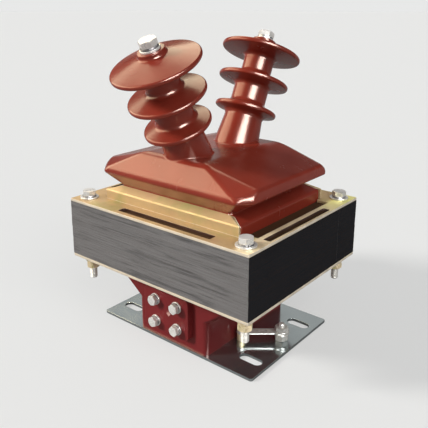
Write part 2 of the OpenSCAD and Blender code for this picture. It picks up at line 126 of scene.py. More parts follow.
class Finishes(bpy.types.PropertyGroup):
    """Colours of the materials."""
    resin: colour("Resin", "Cast resin", (0.295, 0.036, 0.020))
    resin_deep: colour("Resin, deep", "Darker clouds in the cast resin", (0.250, 0.029, 0.016))
    # Painted shade: a darker copy of the cast resin for the pedestal and its pad, standing for the shade
    # below the core.
    resin_painted_shade: colour("Resin, pedestal, painted shade", "Cast resin darkened as painted shade on the pedestal", (0.215, 0.020, 0.023))
    resin_gloss: amount("Resin roughness", "Roughness of the cast resin under its skin", 0.24)
    lamination: colour("Core sides", "Cut edges of the core's sheets", (0.235, 0.229, 0.229))
    # Dark varnish for the streaks; the same colour darkens the core's ends as painted shade.
    lamination_varnish_and_shade: colour("Core varnish and shade", "Varnish in streaks, and painted shade on the ends", (0.009, 0.010, 0.014))
    yellow: colour("Yellow zinc", "Yellow-passivated zinc", (0.54, 0.380, 0.195))
    yellow_olive: colour("Yellow zinc, olive", "Olive tint of the passivation", (0.36, 0.320, 0.125))
    # Painted light: the greenish, bright back corner of the frame's +X strip.
    green_painted_light: colour("Yellow zinc, green painted light", "Greenish painted light at the back of the frame's +X strip", (0.90, 0.87, 0.34))
    yellow_rose: colour("Yellow zinc, rose", "Rose tint of the passivation", (0.50, 0.325, 0.195))
    # Painted shade for the recessed walls of the frame's slots.
    slot_painted_shade: colour("Slot wall shade", "Painted shade on the inner walls of the frame's slots", (0.060, 0.022, 0.012))
    # Bare sheared metal, made pale also as a painted highlight along the frame's edges.
    sheared_edge_and_highlight: colour("Cut edge and highlight", "Sheared edges of the yellow sheet, with a painted highlight", (0.74, 0.66, 0.54))
    # Real pale zinc on the fasteners; on the frame's +X strip the same colour is painted light.
    yellow_pale_and_painted_light: colour("Yellow zinc, pale", "Pale yellow zinc of the fasteners, and painted light on the frame's +X side",
                        (0.82, 0.69, 0.46))
    zinc: colour("Bright zinc", "Bright zinc plating", (0.93, 0.92, 0.89))
    plate: colour("Plate zinc", "Bluish zinc plating of the base plate", (0.51, 0.575, 0.59))
    steel: colour("Spring steel", "Dull spring steel", (0.20, 0.20, 0.21))
    brass: colour("Brass", "Turned brass", (0.62, 0.42, 0.13))
    copper: colour("Copper", "Enamelled copper wire", (0.48, 0.15, 0.06))
    pressboard: colour("Pressboard", "Pressboard and insulating tube", (0.58, 0.46, 0.28))


class StageSettings(bpy.types.PropertyGroup):
    """Floor, light and camera."""
    background: colour("Background", "Colour of the floor and the air behind it", (0.806, 0.812, 0.808))
    floor: colour("Floor", "The floor as the camera sees it lit", (0.90, 0.905, 0.90))
    floor_bounce: colour("Floor bounce", "The floor as it lights the object and shows in shiny surfaces",
                         (0.38, 0.38, 0.38))
    upper_room: colour("Upper room", "What shiny surfaces see above the backdrop", (0.045, 0.046, 0.048))
    overhead: colour("Overhead", "What shiny surfaces see straight above", (0.14, 0.14, 0.14))
    ambient: amount("Ambient", "Strength of the light from all round", 0.24, 4)
    key: amount("Key light", "Strength of the soft key light", 2.9, 20)
    key_angle: angle("Key softness", "Angle across the key light as the object sees it", 12)
    fill: amount("Fill light", "Strength of the wide fill light on the right", 1.15, 20)
    fill_angle: angle("Fill softness", "Angle across the fill light as the object sees it", 50)
    left_panel: amount("Left panel", "Power of the wide panel that reflects from the left", 42.0, 200)
    right_panel: amount("Right panel", "Power of the square panel that reflects from the right", 100.0, 200)
    upper_panel: amount("Upper panel", "Power of the panel that reflects from above", 18.0, 200)
    back_panel: amount("Back panel", "Power of the low panel that reflects from behind", 0.20, 200)
    shadow: amount("Shadow", "How much of the floor's own shadow the camera sees", 0.42)
    camera_place: FloatVectorProperty(name="Camera place", description="Where the camera stands",
                                      default=(0.38494, -0.46969, 0.34608), subtype="TRANSLATION",
                                      unit="LENGTH")
    camera_azimuth: angle("Camera azimuth", "Turn of the camera round the object", 39.329)
    camera_pitch: angle("Camera pitch", "Tilt of the camera, which is negative as it looks down", -15.136)
    lens: FloatProperty(name="Lens", description="Focal length on a 36 mm sensor", default=49.261,
                        subtype="DISTANCE_CAMERA")
    shift: FloatProperty(name="Shift", description="Vertical shift of the lens, as a part of the frame",
                         default=-0.1145)


def sizes(context):
    """The sizes of the casting and of the metal parts."""
    return context.scene.transformer_casting, context.scene.transformer_metal


def mm(metres):
    """A kept length, in millimetres."""
    return metres / MM


def foot_of(node):
    """Height of a CAD node's lowest point, in millimetres, without rounding noise."""
    return round(cad(node)[0].z, 3)


def top_of(node):
    """Height of a CAD node's highest point, in millimetres, without rounding noise."""
    return round(cad(node)[1].z, 3)


# Mesh helpers. Meshes are built in millimetres and scaled when they are finished.

def joined(target, part, place=None):
    """Adds the mesh in part to target, moved by place, and frees part."""
    carrier = bpy.data.meshes.new("carrier")
    part.to_mesh(carrier)
    part.free()
    if place is not None:
        carrier.transform(place)
    target.from_mesh(carrier)
    bpy.data.meshes.remove(carrier)
    return target


def rounded_face(bm, corners):
    """A flat face in the XY plane from corners of (x, y, rounding)."""
    verts = [bm.verts.new((x, y, 0)) for x, y, _ in corners]
    bm.faces.new(verts)
    for i, (x, y, rounding) in enumerate(corners):
        if rounding <= 0:
            continue
        here = Vector((x, y))
        back = Vector(corners[i - 1][:2]) - here
        ahead = Vector(corners[(i + 1) % len(corners)][:2]) - here
        between = back.angle(ahead)
        steps = max(2, round((math.pi - between) / math.radians(14)))
        bmesh.ops.bevel(bm, geom=[verts[i]], offset=rounding / math.tan(between / 2), offset_type="OFFSET",
                        affect="VERTICES", segments=steps, profile=0.5, material=-1)


def outline_wire(bm, corners):
    """The edge of a rounded face, without the face."""
    rounded_face(bm, corners)
    bmesh.ops.delete(bm, geom=bm.faces[:], context="FACES_ONLY")


def turned(corners, steps=64, sweep=2 * math.pi, rise=0.0):
    """A solid turned round Z from corners of (radius, height, rounding). A part turn gets closed ends."""
    bm = bmesh.new()
    outline_wire(bm, corners)
    on_axis = [e for e in bm.edges if max(abs(v.co.x) for v in e.verts) < 1e-6]
    bmesh.ops.delete(bm, geom=on_axis, context="EDGES")
    bmesh.ops.rotate(bm, verts=bm.verts, matrix=Matrix.Rotation(math.pi / 2, 3, "X"))
    full = sweep > math.radians(359.5)
    bmesh.ops.spin(bm, geom=bm.verts[:] + bm.edges[:], axis=(0, 0, 1), cent=(0, 0, 0),
                   dvec=(0, 0, rise / steps), angle=sweep, steps=steps, use_merge=full)
    bmesh.ops.remove_doubles(bm, verts=bm.verts, dist=1e-4)
    if not full:
        bmesh.ops.holes_fill(bm, edges=bm.edges, sides=0)
    bmesh.ops.recalc_face_normals(bm, faces=bm.faces)
    return bm


def rod(radius, start, end, start_edge=0.0, end_edge=0.0, steps=32):
    """A round rod along Z."""
    return turned([(0, start, 0), (radius, start, start_edge), (radius, end, end_edge), (0, end, 0)], steps)


def moved(geometry):
    """The vertices in the result of an extrusion or a copy."""
    return [g for g in geometry if isinstance(g, bmesh.types.BMVert)]


def plate(outline, holes, thickness, edge=0.0):
    """A flat plate with holes, from z 0 up. Outlines are corners of (x, y, rounding)."""
    bm = bmesh.new()
    for corners in [outline] + holes:
        outline_wire(bm, corners)
    bmesh.ops.remove_doubles(bm, verts=bm.verts, dist=2e-3)
    bmesh.ops.triangle_fill(bm, use_beauty=True, use_dissolve=False, edges=bm.edges)
    bmesh.ops.dissolve_limit(bm, angle_limit=0.01, use_dissolve_boundaries=False, verts=bm.verts,
                             edges=bm.edges)
    raised = bmesh.ops.extrude_face_region(bm, geom=bm.faces[:])["geom"]
    bmesh.ops.translate(bm, verts=moved(raised), vec=(0, 0, thickness))
    bmesh.ops.recalc_face_normals(bm, faces=bm.faces)
    if edge:
        rims = [e for e in bm.edges if len(e.link_faces) == 2 and e.calc_face_angle(0) > 1
                and abs(e.verts[0].co.z - e.verts[1].co.z) < 1e-6]
        bmesh.ops.bevel(bm, geom=rims, offset=edge, offset_type="OFFSET", affect="EDGES", segments=2,
                        profile=0.5, material=-1)
    return bm


def rectangle(x, y, rounding=0.0, at=(0, 0)):
    """Corners of a rectangle that reaches x and y from its middle."""
    return [(at[0] + sx * x, at[1] + sy * y, rounding) for sx, sy in ((-1, -1), (1, -1), (1, 1), (-1, 1))]


def round_hole(x, y, radius):
    """Corners of a round hole."""
    return rectangle(radius, radius, radius, (x, y))


CHAMFER_FALL = 0.62
CHAMFER_REACH = 0.475


def ring(bm, radius, height, flats=None, fall=0.0):
    """A loop of edges round Z, round or six-sided. fall drops the six corners, as a chamfer does."""
    verts = bmesh.ops.create_circle(bm, cap_ends=False, segments=SIDES, radius=1)["verts"]
    for v in verts:
        reach = radius
        v.co.z = height
        if flats:
            turn = math.atan2(v.co.y, v.co.x) % (math.pi / 3) - math.pi / 6
            reach = flats / 2 / math.cos(turn)
            v.co.z -= fall * (reach - flats * CHAMFER_REACH)
        v.co.x *= reach
        v.co.y *= reach
    return list({e for v in verts for e in v.link_edges})


def hexagon(flats, height, bore=0.0, both=True):
    """A hexagon head or nut with turned chamfers, from z 0 up."""
    bm = bmesh.new()
    crown = flats * CHAMFER_REACH
    loops = [
        ring(bm, crown, height),
        ring(bm, 0, height, flats, CHAMFER_FALL),
        ring(bm, 0, 0, flats, -CHAMFER_FALL if both else 0.0),
        ring(bm, crown, 0),
    ]
    if bore:
        hole, cut = bore / 2, 0.6
        loops += [ring(bm, hole + cut, 0), ring(bm, hole, cut), ring(bm, hole, height - cut),
                  ring(bm, hole + cut, height)]
        loops.append(loops[0])
    for lower, upper in zip(loops, loops[1:]):
        bmesh.ops.bridge_loops(bm, edges=lower + upper)
    if not bore:
        bmesh.ops.holes_fill(bm, edges=bm.edges, sides=0)
    bmesh.ops.recalc_face_normals(bm, faces=bm.faces)
    return bm


THREAD_DEPTH = 0.58
THREAD_STEPS = 24
SUNK = 0.05


def threaded(diameter, pitch, start, end):
    """A threaded bar from start to end, with a chamfered tip at end. The thread runs out at both ends."""
    outer = diameter / 2
    inner = outer - THREAD_DEPTH * pitch
    low, high = min(start, end), max(start, end)
    tip = 1.0 if end > start else -1.0
    turns = int((high - low) / pitch) - 1
    bm = bmesh.new()
    corners = (inner, 0, low), (outer, 0, low + 0.5 * pitch), (inner, 0, low + pitch)
    tooth = [bm.verts.new(corner) for corner in corners]
    for a, b in zip(tooth, tooth[1:]):
        bm.edges.new((a, b))
    bmesh.ops.spin(bm, geom=bm.verts[:] + bm.edges[:], axis=(0, 0, 1), cent=(0, 0, 0),
                   dvec=(0, 0, pitch / THREAD_STEPS), angle=2 * math.pi * turns, steps=THREAD_STEPS * turns)
    bmesh.ops.remove_doubles(bm, verts=bm.verts, dist=1e-3)
    for v in bm.verts:
        run_out = min(1.0, (v.co.z - low) / pitch, (high - v.co.z) / pitch)
        reach = math.hypot(v.co.x, v.co.y)
        grown = (inner - SUNK) + (reach - inner + SUNK) * max(0.0, run_out)
        v.co.x *= grown / reach
        v.co.y *= grown / reach
    caps = bmesh.ops.holes_fill(bm, edges=[e for e in bm.edges if e.is_boundary], sides=0)["faces"]
    bmesh.ops.triangulate(bm, faces=caps)
    if any(len(e.link_faces) != 2 for e in bm.edges):
        raise RuntimeError("a thread is not closed")
    bmesh.ops.recalc_face_normals(bm, faces=bm.faces)
    cut = 0.7
    bar = [(0, start, 0), (inner, start, 0), (inner, end - tip * cut, 0), (inner - cut, end, 0.2),
           (0, end, 0)]
    return joined(bm, turned(bar, 32))


def washer(outer, inner, thickness, edge):
    """A plain washer, from z 0 up."""
    r, hole = outer / 2, inner / 2
    return turned([(hole, 0, 0), (r, 0, edge), (r, thickness, edge), (hole, thickness, edge)], 64)


def spring_washer(outer, inner, thickness):
    """A split ring whose two ends stand a little apart in height."""
    r, hole, lift = outer / 2, inner / 2, thickness * 0.14
    corners = [(hole, 0, 0.15), (r, 0, 0.2), (r, thickness - lift, 0.2), (hole, thickness - lift, 0.15)]
    return turned(corners, 60, math.radians(349), lift)


def finished(bm, name, slot, replaces, material=None, sharp=35, rounding=None):
    """Makes the mesh an object that rides on the frame, stands for its CAD nodes and takes a record slot.

    The material is the slot's own, unless another is given. A rounding is in millimetres, on weighted edges.
    """
    bmesh.ops.scale(bm, vec=(MM, MM, MM), verts=bm.verts)
    mesh = bpy.data.meshes.new(name)
    bm.to_mesh(mesh)
    bm.free()
    mesh.polygons.foreach_set("use_smooth", [True] * len(mesh.polygons))
    mesh.set_sharp_from_angle(angle=math.radians(sharp))
    mesh.materials.append(material or materials()[slot])
    piece = bpy.data.objects.new(name, mesh)
    bpy.context.scene.collection.objects.link(piece)
    if rounding:
        bevel = piece.modifiers.new("Rounded edges", "BEVEL")
        bevel.limit_method = "WEIGHT"
        bevel.width = rounding * MM
        bevel.segments = 5
        bevel.use_clamp_overlap = False
        bevel.harden_normals = True
    else:
        shading = piece.modifiers.new("Even shading", "WEIGHTED_NORMAL")
        shading.keep_sharp = True
    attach(piece, "root")
    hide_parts(*replaces)
    return piece


# Materials

def add(tree, kind, inputs=None, **settings):
    """Adds a shader node. Inputs are values or the sockets that feed them."""
    made = tree.nodes.new("ShaderNode" + kind)
    for key, value in settings.items():
        setattr(made, key, value)
    for key, value in (inputs or {}).items():
        if isinstance(value, bpy.types.NodeSocket):
            tree.links.new(value, made.inputs[key])
        else:
            made.inputs[key].default_value = value
    return made


def new_group(name, inputs, result):
    """A node group with a Vector and more inputs, each a number or a vector, and its two end nodes."""
    tree = bpy.data.node_groups.new(name, "ShaderNodeTree")
    tree.interface.new_socket("Vector", in_out="INPUT", socket_type="NodeSocketVector")
    for label, default in inputs.items():
        kind = "NodeSocketFloat" if isinstance(default, float) else "NodeSocketVector"
        tree.interface.new_socket(label, in_out="INPUT", socket_type=kind).default_value = default
    tree.interface.new_socket(result, in_out="OUTPUT", socket_type="NodeSocketFloat")
    return tree, tree.nodes.new("NodeGroupInput"), tree.nodes.new("NodeGroupOutput")


def clouds_group():
    """Soft patches of tone, stretched along the axes and pushed apart by a contrast."""
    inputs = {"Stretch": (1, 1, 1), "Scale": 10.0, "Detail": 4.0, "Low": 0.35, "High": 0.65}
    tree, given, out = new_group("Clouds", inputs, "Mask")
    placed = add(tree, "Mapping", {"Vector": given.outputs["Vector"], "Scale": given.outputs["Stretch"]})
    noise = add(tree, "TexNoise", {"Vector": placed.outputs[0], "Scale": given.outputs["Scale"],
                                   "Detail": given.outputs["Detail"], "Roughness": 0.55})
    spread = add(tree, "MapRange", {"Value": noise.outputs["Fac"], "From Min": given.outputs["Low"],
                                    "From Max": given.outputs["High"]}, interpolation_type="SMOOTHSTEP")
    tree.links.new(spread.outputs["Result"], out.inputs["Mask"])
    return tree


def wear_group():
    """Rubbed edges, on yellow zinc also a painted highlight: where the rounded normal leaves the face's own,
    broken up by noise.
    """
    tree, given, out = new_group("Edge wear", {"Radius": 0.001, "Amount": 1.0}, "Mask")
    soft = add(tree, "Bevel", {"Radius": given.outputs["Radius"]}, samples=4)
    face = add(tree, "NewGeometry")
    agree = add(tree, "VectorMath", {0: soft.outputs[0], 1: face.outputs["Normal"]}, operation="DOT_PRODUCT")
    edge = add(tree, "MapRange", {"Value": agree.outputs["Value"], "From Min": 0.985, "From Max": 0.80})
    noise = add(tree, "TexNoise", {"Vector": given.outputs["Vector"], "Scale": 160.0, "Detail": 3.0})
    broken = add(tree, "Math", {0: edge.outputs["Result"], 1: noise.outputs["Fac"]}, operation="MULTIPLY")
    worn = add(tree, "Math", {0: broken.outputs[0], 1: given.outputs["Amount"]}, operation="MULTIPLY",
               use_clamp=True)
    tree.links.new(worn.outputs[0], out.inputs["Mask"])
    return tree


def brushing_group():
    """Fine parallel marks of rolling or turning, as a height."""
    tree, given, out = new_group("Brushing", {"Stretch": (20, 900, 900)}, "Height")
    placed = add(tree, "Mapping", {"Vector": given.outputs["Vector"], "Scale": given.outputs["Stretch"]})
    fine = add(tree, "TexNoise", {"Vector": placed.outputs[0], "Scale": 1.0, "Detail": 3.0})
    coarse = add(tree, "TexNoise", {"Vector": placed.outputs[0], "Scale": 0.22, "Detail": 2.0})
    both = add(tree, "Math", {0: fine.outputs["Fac"], 1: coarse.outputs["Fac"]}, operation="ADD")
    tree.links.new(both.outputs[0], out.inputs["Height"])
    return tree


def dust_group():
    """Dust on faces that look up, thicker in patches."""
    tree, given, out = new_group("Dust", {"Amount": 0.2}, "Mask")
    face = add(tree, "NewGeometry")
    up = add(tree, "SeparateXYZ", {0: face.outputs["Normal"]})
    level = add(tree, "MapRange", {"Value": up.outputs["Z"], "From Min": 0.55, "From Max": 1.0})
    noise = add(tree, "TexNoise", {"Vector": given.outputs["Vector"], "Scale": 45.0, "Detail": 6.0})
    patch = add(tree, "MapRange", {"Value": noise.outputs["Fac"], "From Min": 0.35, "From Max": 0.7})
    lying = add(tree, "Math", {0: level.outputs["Result"], 1: patch.outputs["Result"]}, operation="MULTIPLY")
    dusty = add(tree, "Math", {0: lying.outputs[0], 1: given.outputs["Amount"]}, operation="MULTIPLY")
    tree.links.new(dusty.outputs[0], out.inputs["Mask"])
    return tree


class Finish:
    """A material under construction: its tree, its shader and the object coordinates."""

    def __init__(self, name, groups):
        """Makes the material."""
        self.material = bpy.data.materials.new(name)
        self.material.use_nodes = True
        self.tree = self.material.node_tree
        self.groups = groups
        self.shader = self.tree.nodes["Principled BSDF"]
        self.place = add(self.tree, "TexCoord").outputs["Object"]

    def set(self, **values):
        """Sets plain values of the shader, each named as its socket with lines for spaces."""
        for key, value in values.items():
            self.shader.inputs[key.replace("_", " ")].default_value = value

    def feed(self, socket, source):
        """Links a result to a socket of the shader."""
        self.tree.links.new(source, self.shader.inputs[socket])

    def group(self, name, **inputs):
        """The result of a node group. It uses the object coordinates, unless a Vector is given."""
        inputs.setdefault("Vector", self.place)
        return add(self.tree, "Group", inputs, node_tree=self.groups[name]).outputs[0]

    def mix(self, mask, first, second):
        """A colour between two, which are colours or sockets."""
        inputs = {0: mask}
        for slot, value in ((6, first), (7, second)):
            inputs[slot] = value if isinstance(value, bpy.types.NodeSocket) else (*value, 1.0)
        return add(self.tree, "Mix", inputs, data_type="RGBA").outputs[2]

    def span(self, mask, low, high):
        """A mask stretched to run from low to high."""
        return add(self.tree, "MapRange", {"Value": mask, "To Min": low, "To Max": high}).outputs["Result"]

    def ramp(self, value, start, end, top=1.0):
        """A mask that rises from 0 to top while a value goes from start to end."""
        reach = {"Value": value, "From Min": start, "From Max": end, "To Max": top}
        return add(self.tree, "MapRange", reach).outputs["Result"]

    def normal(self):
        """The direction that a face looks in."""
        return add(self.tree, "NewGeometry").outputs["Normal"]

    def part(self, vector, axis):
        """One part of a vector: X, Y or Z."""
        return add(self.tree, "SeparateXYZ", {0: vector}).outputs[axis]

    def math(self, operation, first, second=0.0):
        """The result of one sum on two values."""
        return add(self.tree, "Math", {0: first, 1: second}, operation=operation).outputs[0]

    def beyond(self, value, limit):
        """1 where a value is further than limit from 0 on either side, and 0 elsewhere."""
        return self.math("GREATER_THAN", self.math("ABSOLUTE", value), limit)

    def bump(self, height, strength, distance):
        """Makes the surface uneven by a height."""
        made = add(self.tree, "Bump", {"Height": height, "Strength": strength, "Distance": distance})
        self.feed("Normal", made.outputs["Normal"])


def shaded(shade, share):
    """A colour made darker or brighter by a share."""
    return [min(1, c * share) for c in shade]


def resin_finish(groups, name, shade, deep, gloss, sheen):
    """Red-brown cast epoxy: soft sheen under a thin gloss skin, with faint clouds and orange peel."""
    rubbed, dusty = (0.44, 0.17, 0.12), (0.50, 0.36, 0.30)
    skin = Finish(name, groups)
    cloud = skin.group("Clouds", Scale=16.0, Detail=2.0, Low=0.32, High=0.70)
    tone = skin.mix(cloud, shade, deep)
    worn = skin.group("Edge wear", Radius=0.0012, Amount=0.35)
    tone = skin.mix(worn, tone, rubbed)
    dust = skin.group("Dust", Amount=0.03)
    skin.feed("Base Color", skin.mix(dust, tone, dusty))
    smear = skin.group("Clouds", Scale=50.0, Detail=3.0, Low=0.3, High=0.75, Stretch=(1, 1, 0.5))
    skin.feed("Roughness", skin.span(smear, gloss - 0.02, gloss + 0.04))
    skin.set(Specular_IOR_Level=sheen, Specular_Tint=(1.0, 0.90, 0.80, 1.0))
    skin.set(Coat_Weight=0.06, Coat_Roughness=0.15)
    peel = skin.group("Clouds", Scale=240.0, Detail=1.0, Low=0.2, High=0.8)
    skin.bump(peel, 0.05, 0.0004)
    return skin.material


def mark_finish(groups):
    """The paler raised mark on the terminal pad."""
    skin = Finish("Pale resin mark", groups)
    cloud = skin.group("Clouds", Scale=300.0, Detail=3.0)
    skin.feed("Base Color", skin.mix(cloud, (0.66, 0.38, 0.33), (0.50, 0.24, 0.20)))
    skin.set(Roughness=0.4)
    return skin.material


def lamination_finish(groups, look):
    """Stacked sheets: grey cut edges with dark varnish streaks, and ends darkened as painted shade."""
    level_brown = (0.085, 0.045, 0.022)
    stack = Finish("Laminated core", groups)
    sheets = stack.group("Clouds", Stretch=(9, 9, 1900), Scale=1.0, Detail=2.0, Low=0.3, High=0.7)
    strokes = stack.group("Clouds", Stretch=(24, 24, 420), Scale=1.0, Detail=5.0, Low=0.46, High=0.68)
    patches = stack.group("Clouds", Stretch=(13, 13, 40), Scale=1.0, Detail=3.0, Low=0.42, High=0.66)
    grey = stack.mix(sheets, look.lamination, shaded(look.lamination, 0.70))
    streak = stack.math("MULTIPLY", strokes, stack.span(patches, 0.22, 0.5))
    grey = stack.mix(streak, grey, look.lamination_varnish_and_shade)
    face = stack.normal()
    upward = stack.math("GREATER_THAN", stack.part(face, "Z"), 0.9)
    grey = stack.mix(upward, grey, level_brown)
    # Painted shade: the ends, which face X, are darkened towards the varnish colour.
    end = stack.ramp(stack.math("ABSOLUTE", stack.part(face, "X")), 0.5, 0.9, 0.97)
    stack.feed("Base Color", stack.mix(end, grey, look.lamination_varnish_and_shade))
    stack.feed("Roughness", stack.span(patches, 0.62, 0.5))
    stack.set(Specular_IOR_Level=0.05)
    stack.bump(sheets, 0.25, 0.0003)
    return stack.material


def yellow_finish(groups, look, name, scale, sheet):
    """Yellow-passivated zinc, whose tint drifts between gold, olive and rose.

    On the folded sheet it also has painted light and shade: the frame's +X strip is painted pale with a
    greenish corner, the slot walls carry painted shade, and the sheared edges are bright both as bare metal
    and as a painted highlight. Its rubbed edges are wear and a painted highlight too.
    """
    # Pale edge colour: wear, and also a painted highlight along the edges.
    rubbed = (0.86, 0.80, 0.66)
    metal = Finish(name, groups)
    olive = metal.group("Clouds", Scale=scale, Detail=3.0, Low=0.45, High=0.68)
    rose = metal.group("Clouds", Scale=scale * 1.7, Detail=4.0, Low=0.52, High=0.72, Stretch=(1, 1, 2))
    tint = metal.mix(olive, look.yellow if sheet else look.yellow_pale_and_painted_light, look.yellow_olive)
    tint = metal.mix(metal.math("MULTIPLY", rose, 0.55), tint, look.yellow_rose)
    # The rubbed edges here are both wear and a painted highlight.
    worn = metal.group("Edge wear", Radius=0.0008, Amount=1.6)
    tint = metal.mix(worn, tint, rubbed)
    if sheet:
        # Painted light: the frame's +X strip is made pale, and greenish towards its back corner.
        along, deep = (metal.part(metal.place, axis) for axis in "XY")
        pale = metal.mix(metal.ramp(deep, 0.035, 0.075), look.yellow_pale_and_painted_light, look.green_painted_light)
        tint = metal.mix(metal.ramp(along, 0.100, 0.106), tint, pale)
        upright = metal.math("LESS_THAN", metal.math("ABSOLUTE", metal.part(metal.normal(), "Z")), 0.6)
        slots = metal.math("MAXIMUM", metal.beyond(along, 0.105), metal.beyond(deep, 0.080))
        rim = metal.math("MAXIMUM", metal.beyond(along, 0.119), metal.beyond(deep, 0.099))
        # Painted shade on the upright walls of the slots.
        tint = metal.mix(metal.math("MULTIPLY", upright, slots), tint, look.slot_painted_shade)
        # The sheared outer edges are bright both as bare metal and as a painted highlight.
        tint = metal.mix(metal.math("MULTIPLY", upright, rim), tint, look.sheared_edge_and_highlight)
    metal.feed("Base Color", tint)
    metal.feed("Roughness", metal.span(metal.group("Clouds", Scale=scale * 4, Detail=5.0), 0.44, 0.58))
    metal.set(Metallic=0.35)
    metal.bump(metal.group("Brushing", Stretch=(30, 700, 700)), 0.10, 0.0002)
    return metal.material


def metal_finish(groups, name, shade, share, clouds, gloss, metallic, brushing, depth, rub=None, smears=None):
    """A plated or turned metal: patches of tone, fine marks and, where rub is given, rubbed edges.

    share is the patches' tone against the shade and gloss the range of the roughness. brushing is the marks'
    stretch and depth their strength. rub is the edges' radius and colour. The roughness follows the patches
    of tone, unless it has smears of its own.
    """
    metal = Finish(name, groups)
    cloud = metal.group("Clouds", **clouds)
    tone = metal.mix(cloud, shade, shaded(shade, share))
    if rub:
        tone = metal.mix(metal.group("Edge wear", Radius=rub[0], Amount=1.0), tone, rub[1])
    metal.feed("Base Color", tone)
    metal.feed("Roughness", metal.span(metal.group("Clouds", **smears) if smears else cloud, *gloss))
    metal.set(Metallic=metallic)
    metal.bump(metal.group("Brushing", Stretch=brushing), depth, 0.0001)
    return metal.material


def copper_finish(groups, look):
    """Enamelled wire, wound in close turns, with painted shade in the grooves between them."""
    painted_shade_between_turns = (0.10, 0.025, 0.012)
    wire = Finish("Copper winding", groups)
    bands = {"Vector": wire.place, "Scale": 420.0, "Distortion": 0.4, "Detail": 1.0, "Detail Scale": 3.0}
    turns = add(wire.tree, "TexWave", bands, bands_direction="Y").outputs["Fac"]
    cloud = wire.group("Clouds", Scale=60.0, Detail=4.0)
    tone = wire.mix(cloud, look.copper, shaded(look.copper, 0.72))
    # Painted shade darkens the grooves between the turns.
    wire.feed("Base Color", wire.mix(wire.span(turns, 0.45, 0.0), tone, painted_shade_between_turns))
    wire.feed("Roughness", wire.span(cloud, 0.22, 0.36))
    wire.set(Metallic=0.9, Coat_Weight=0.5, Coat_Roughness=0.15)
    wire.bump(turns, 0.5, 0.0004)
    return wire.material


def pressboard_finish(groups, look):
    """Pressed paper board with fibres."""
    fibre = (0.30, 0.21, 0.11)
    board = Finish("Pressboard", groups)
    fibres = board.group("Clouds", Stretch=(1, 4, 1), Scale=350.0, Detail=6.0)
    cloud = board.group("Clouds", Scale=40.0, Detail=3.0)
    tone = board.mix(cloud, look.pressboard, shaded(look.pressboard, 0.8))
    board.feed("Base Color", board.mix(board.math("MULTIPLY", fibres, 0.35), tone, fibre))
    board.feed("Roughness", board.span(fibres, 0.7, 0.9))
    board.bump(fibres, 0.3, 0.0003)
    return board.material


KEPT = {}


def materials():
    """Every material by its record slot, made once. The pedestal, whose resin is darkened as painted shade,
    and the mark have finishes of their own.
    """
    if KEPT:
        return KEPT
    look = bpy.context.scene.transformer_finishes
    groups = {"Clouds": clouds_group(), "Edge wear": wear_group(), "Brushing": brushing_group(),
              "Dust": dust_group()}
    KEPT.update({
        "resin": resin_finish(groups, "Cast resin", look.resin, look.resin_deep, look.resin_gloss, 0.40),
        # The pedestal's finish is the same cast resin made darker, as painted shade.
        "resin_painted_shade": resin_finish(groups, "Cast resin, pedestal, painted shade", look.resin_painted_shade,
                                  shaded(look.resin_painted_shade, 0.85), look.resin_gloss + 0.08, 0.25),
        "mark": mark_finish(groups),
        "lamination": lamination_finish(groups, look),
        "yellow_zinc_sheet": yellow_finish(groups, look, "Yellow zinc sheet", 20.0, True),
        "yellow_zinc": yellow_finish(groups, look, "Yellow zinc fasteners", 130.0, False),
        "bright_zinc": metal_finish(
            groups, "Bright zinc", look.zinc, 0.82, {"Scale": 120.0, "Detail": 4.0}, (0.22, 0.32), 0.26,
            (260, 260, 2600), 0.08, rub=(0.0005, (0.92, 0.92, 0.90))),
        "blue_zinc_plate": metal_finish(
            groups, "Plate zinc", look.plate, 0.88, {"Scale": 18.0, "Detail": 2.0, "Low": 0.3, "High": 0.72},
            (0.12, 0.19), 0.93, (16, 420, 420), 0.03, rub=(0.0006, (0.80, 0.81, 0.80)),
            smears={"Scale": 40.0, "Detail": 3.0}),
        "dark_spring_steel": metal_finish(
            groups, "Spring steel", look.steel, 1.7, {"Scale": 200.0, "Detail": 4.0}, (0.34, 0.5), 1.0,
            (300, 300, 1500), 0.1),
        "brass": metal_finish(
            groups, "Turned brass", look.brass, 0.7, {"Scale": 140.0, "Detail": 4.0}, (0.24, 0.4), 1.0,
            (200, 200, 2400), 0.12),
        "copper_winding": copper_finish(groups, look),
        "pressboard": pressboard_finish(groups, look),
    })
    return KEPT


# Casting

def direction(point):
    """Direction of a point from the Z axis."""
    return math.atan2(point[1], point[0])


def in_order(corners, z):
    """Corners of an outline at a height, in the order of their direction from the Z axis."""
    return sorted(((x, y, z) for x, y, _ in corners), key=direction)


def cut_rectangle(x, y, cut_x, cut_y, z):
    """Corners of a rectangle with its corners cut off, in the same order."""
    half = [(x, -y + cut_y, z), (x, y - cut_y, z), (x - cut_x, y, z), (-x + cut_x, y, z)]
    return sorted(half + [(-px, -py, z) for px, py, _ in half], key=direction)


def stacked(rings):
    """A closed solid through rings of corners, from the lowest to the highest."""
    bm = bmesh.new()
    bm.faces.new([bm.verts.new(p) for p in rings[0]])
    edges = bm.edges[:]
    for ring_corners in rings[1:]:
        grown = bmesh.ops.extrude_edge_only(bm, edges=edges)["geom"]
        edges = [g for g in grown if isinstance(g, bmesh.types.BMEdge)]
        for vert, corner in zip(sorted(moved(grown), key=lambda v: direction(v.co)), ring_corners):
            vert.co = corner
    bmesh.ops.edgeloop_fill(bm, edges=edges)
    if any(len(e.link_faces) != 2 for e in bm.edges):
        raise RuntimeError("a stacked solid is not closed")
    bmesh.ops.recalc_face_normals(bm, faces=bm.faces)
    return bm


def weigh(bm, rule):
    """Gives each edge its part of the piece's rounding, from a rule on its two ends."""
    layer = bm.edges.layers.float.new("bevel_weight_edge")
    for edge in bm.edges:
        low, high = sorted((v.co for v in edge.verts), key=lambda co: co.z)
        edge[layer] = rule(low, high)


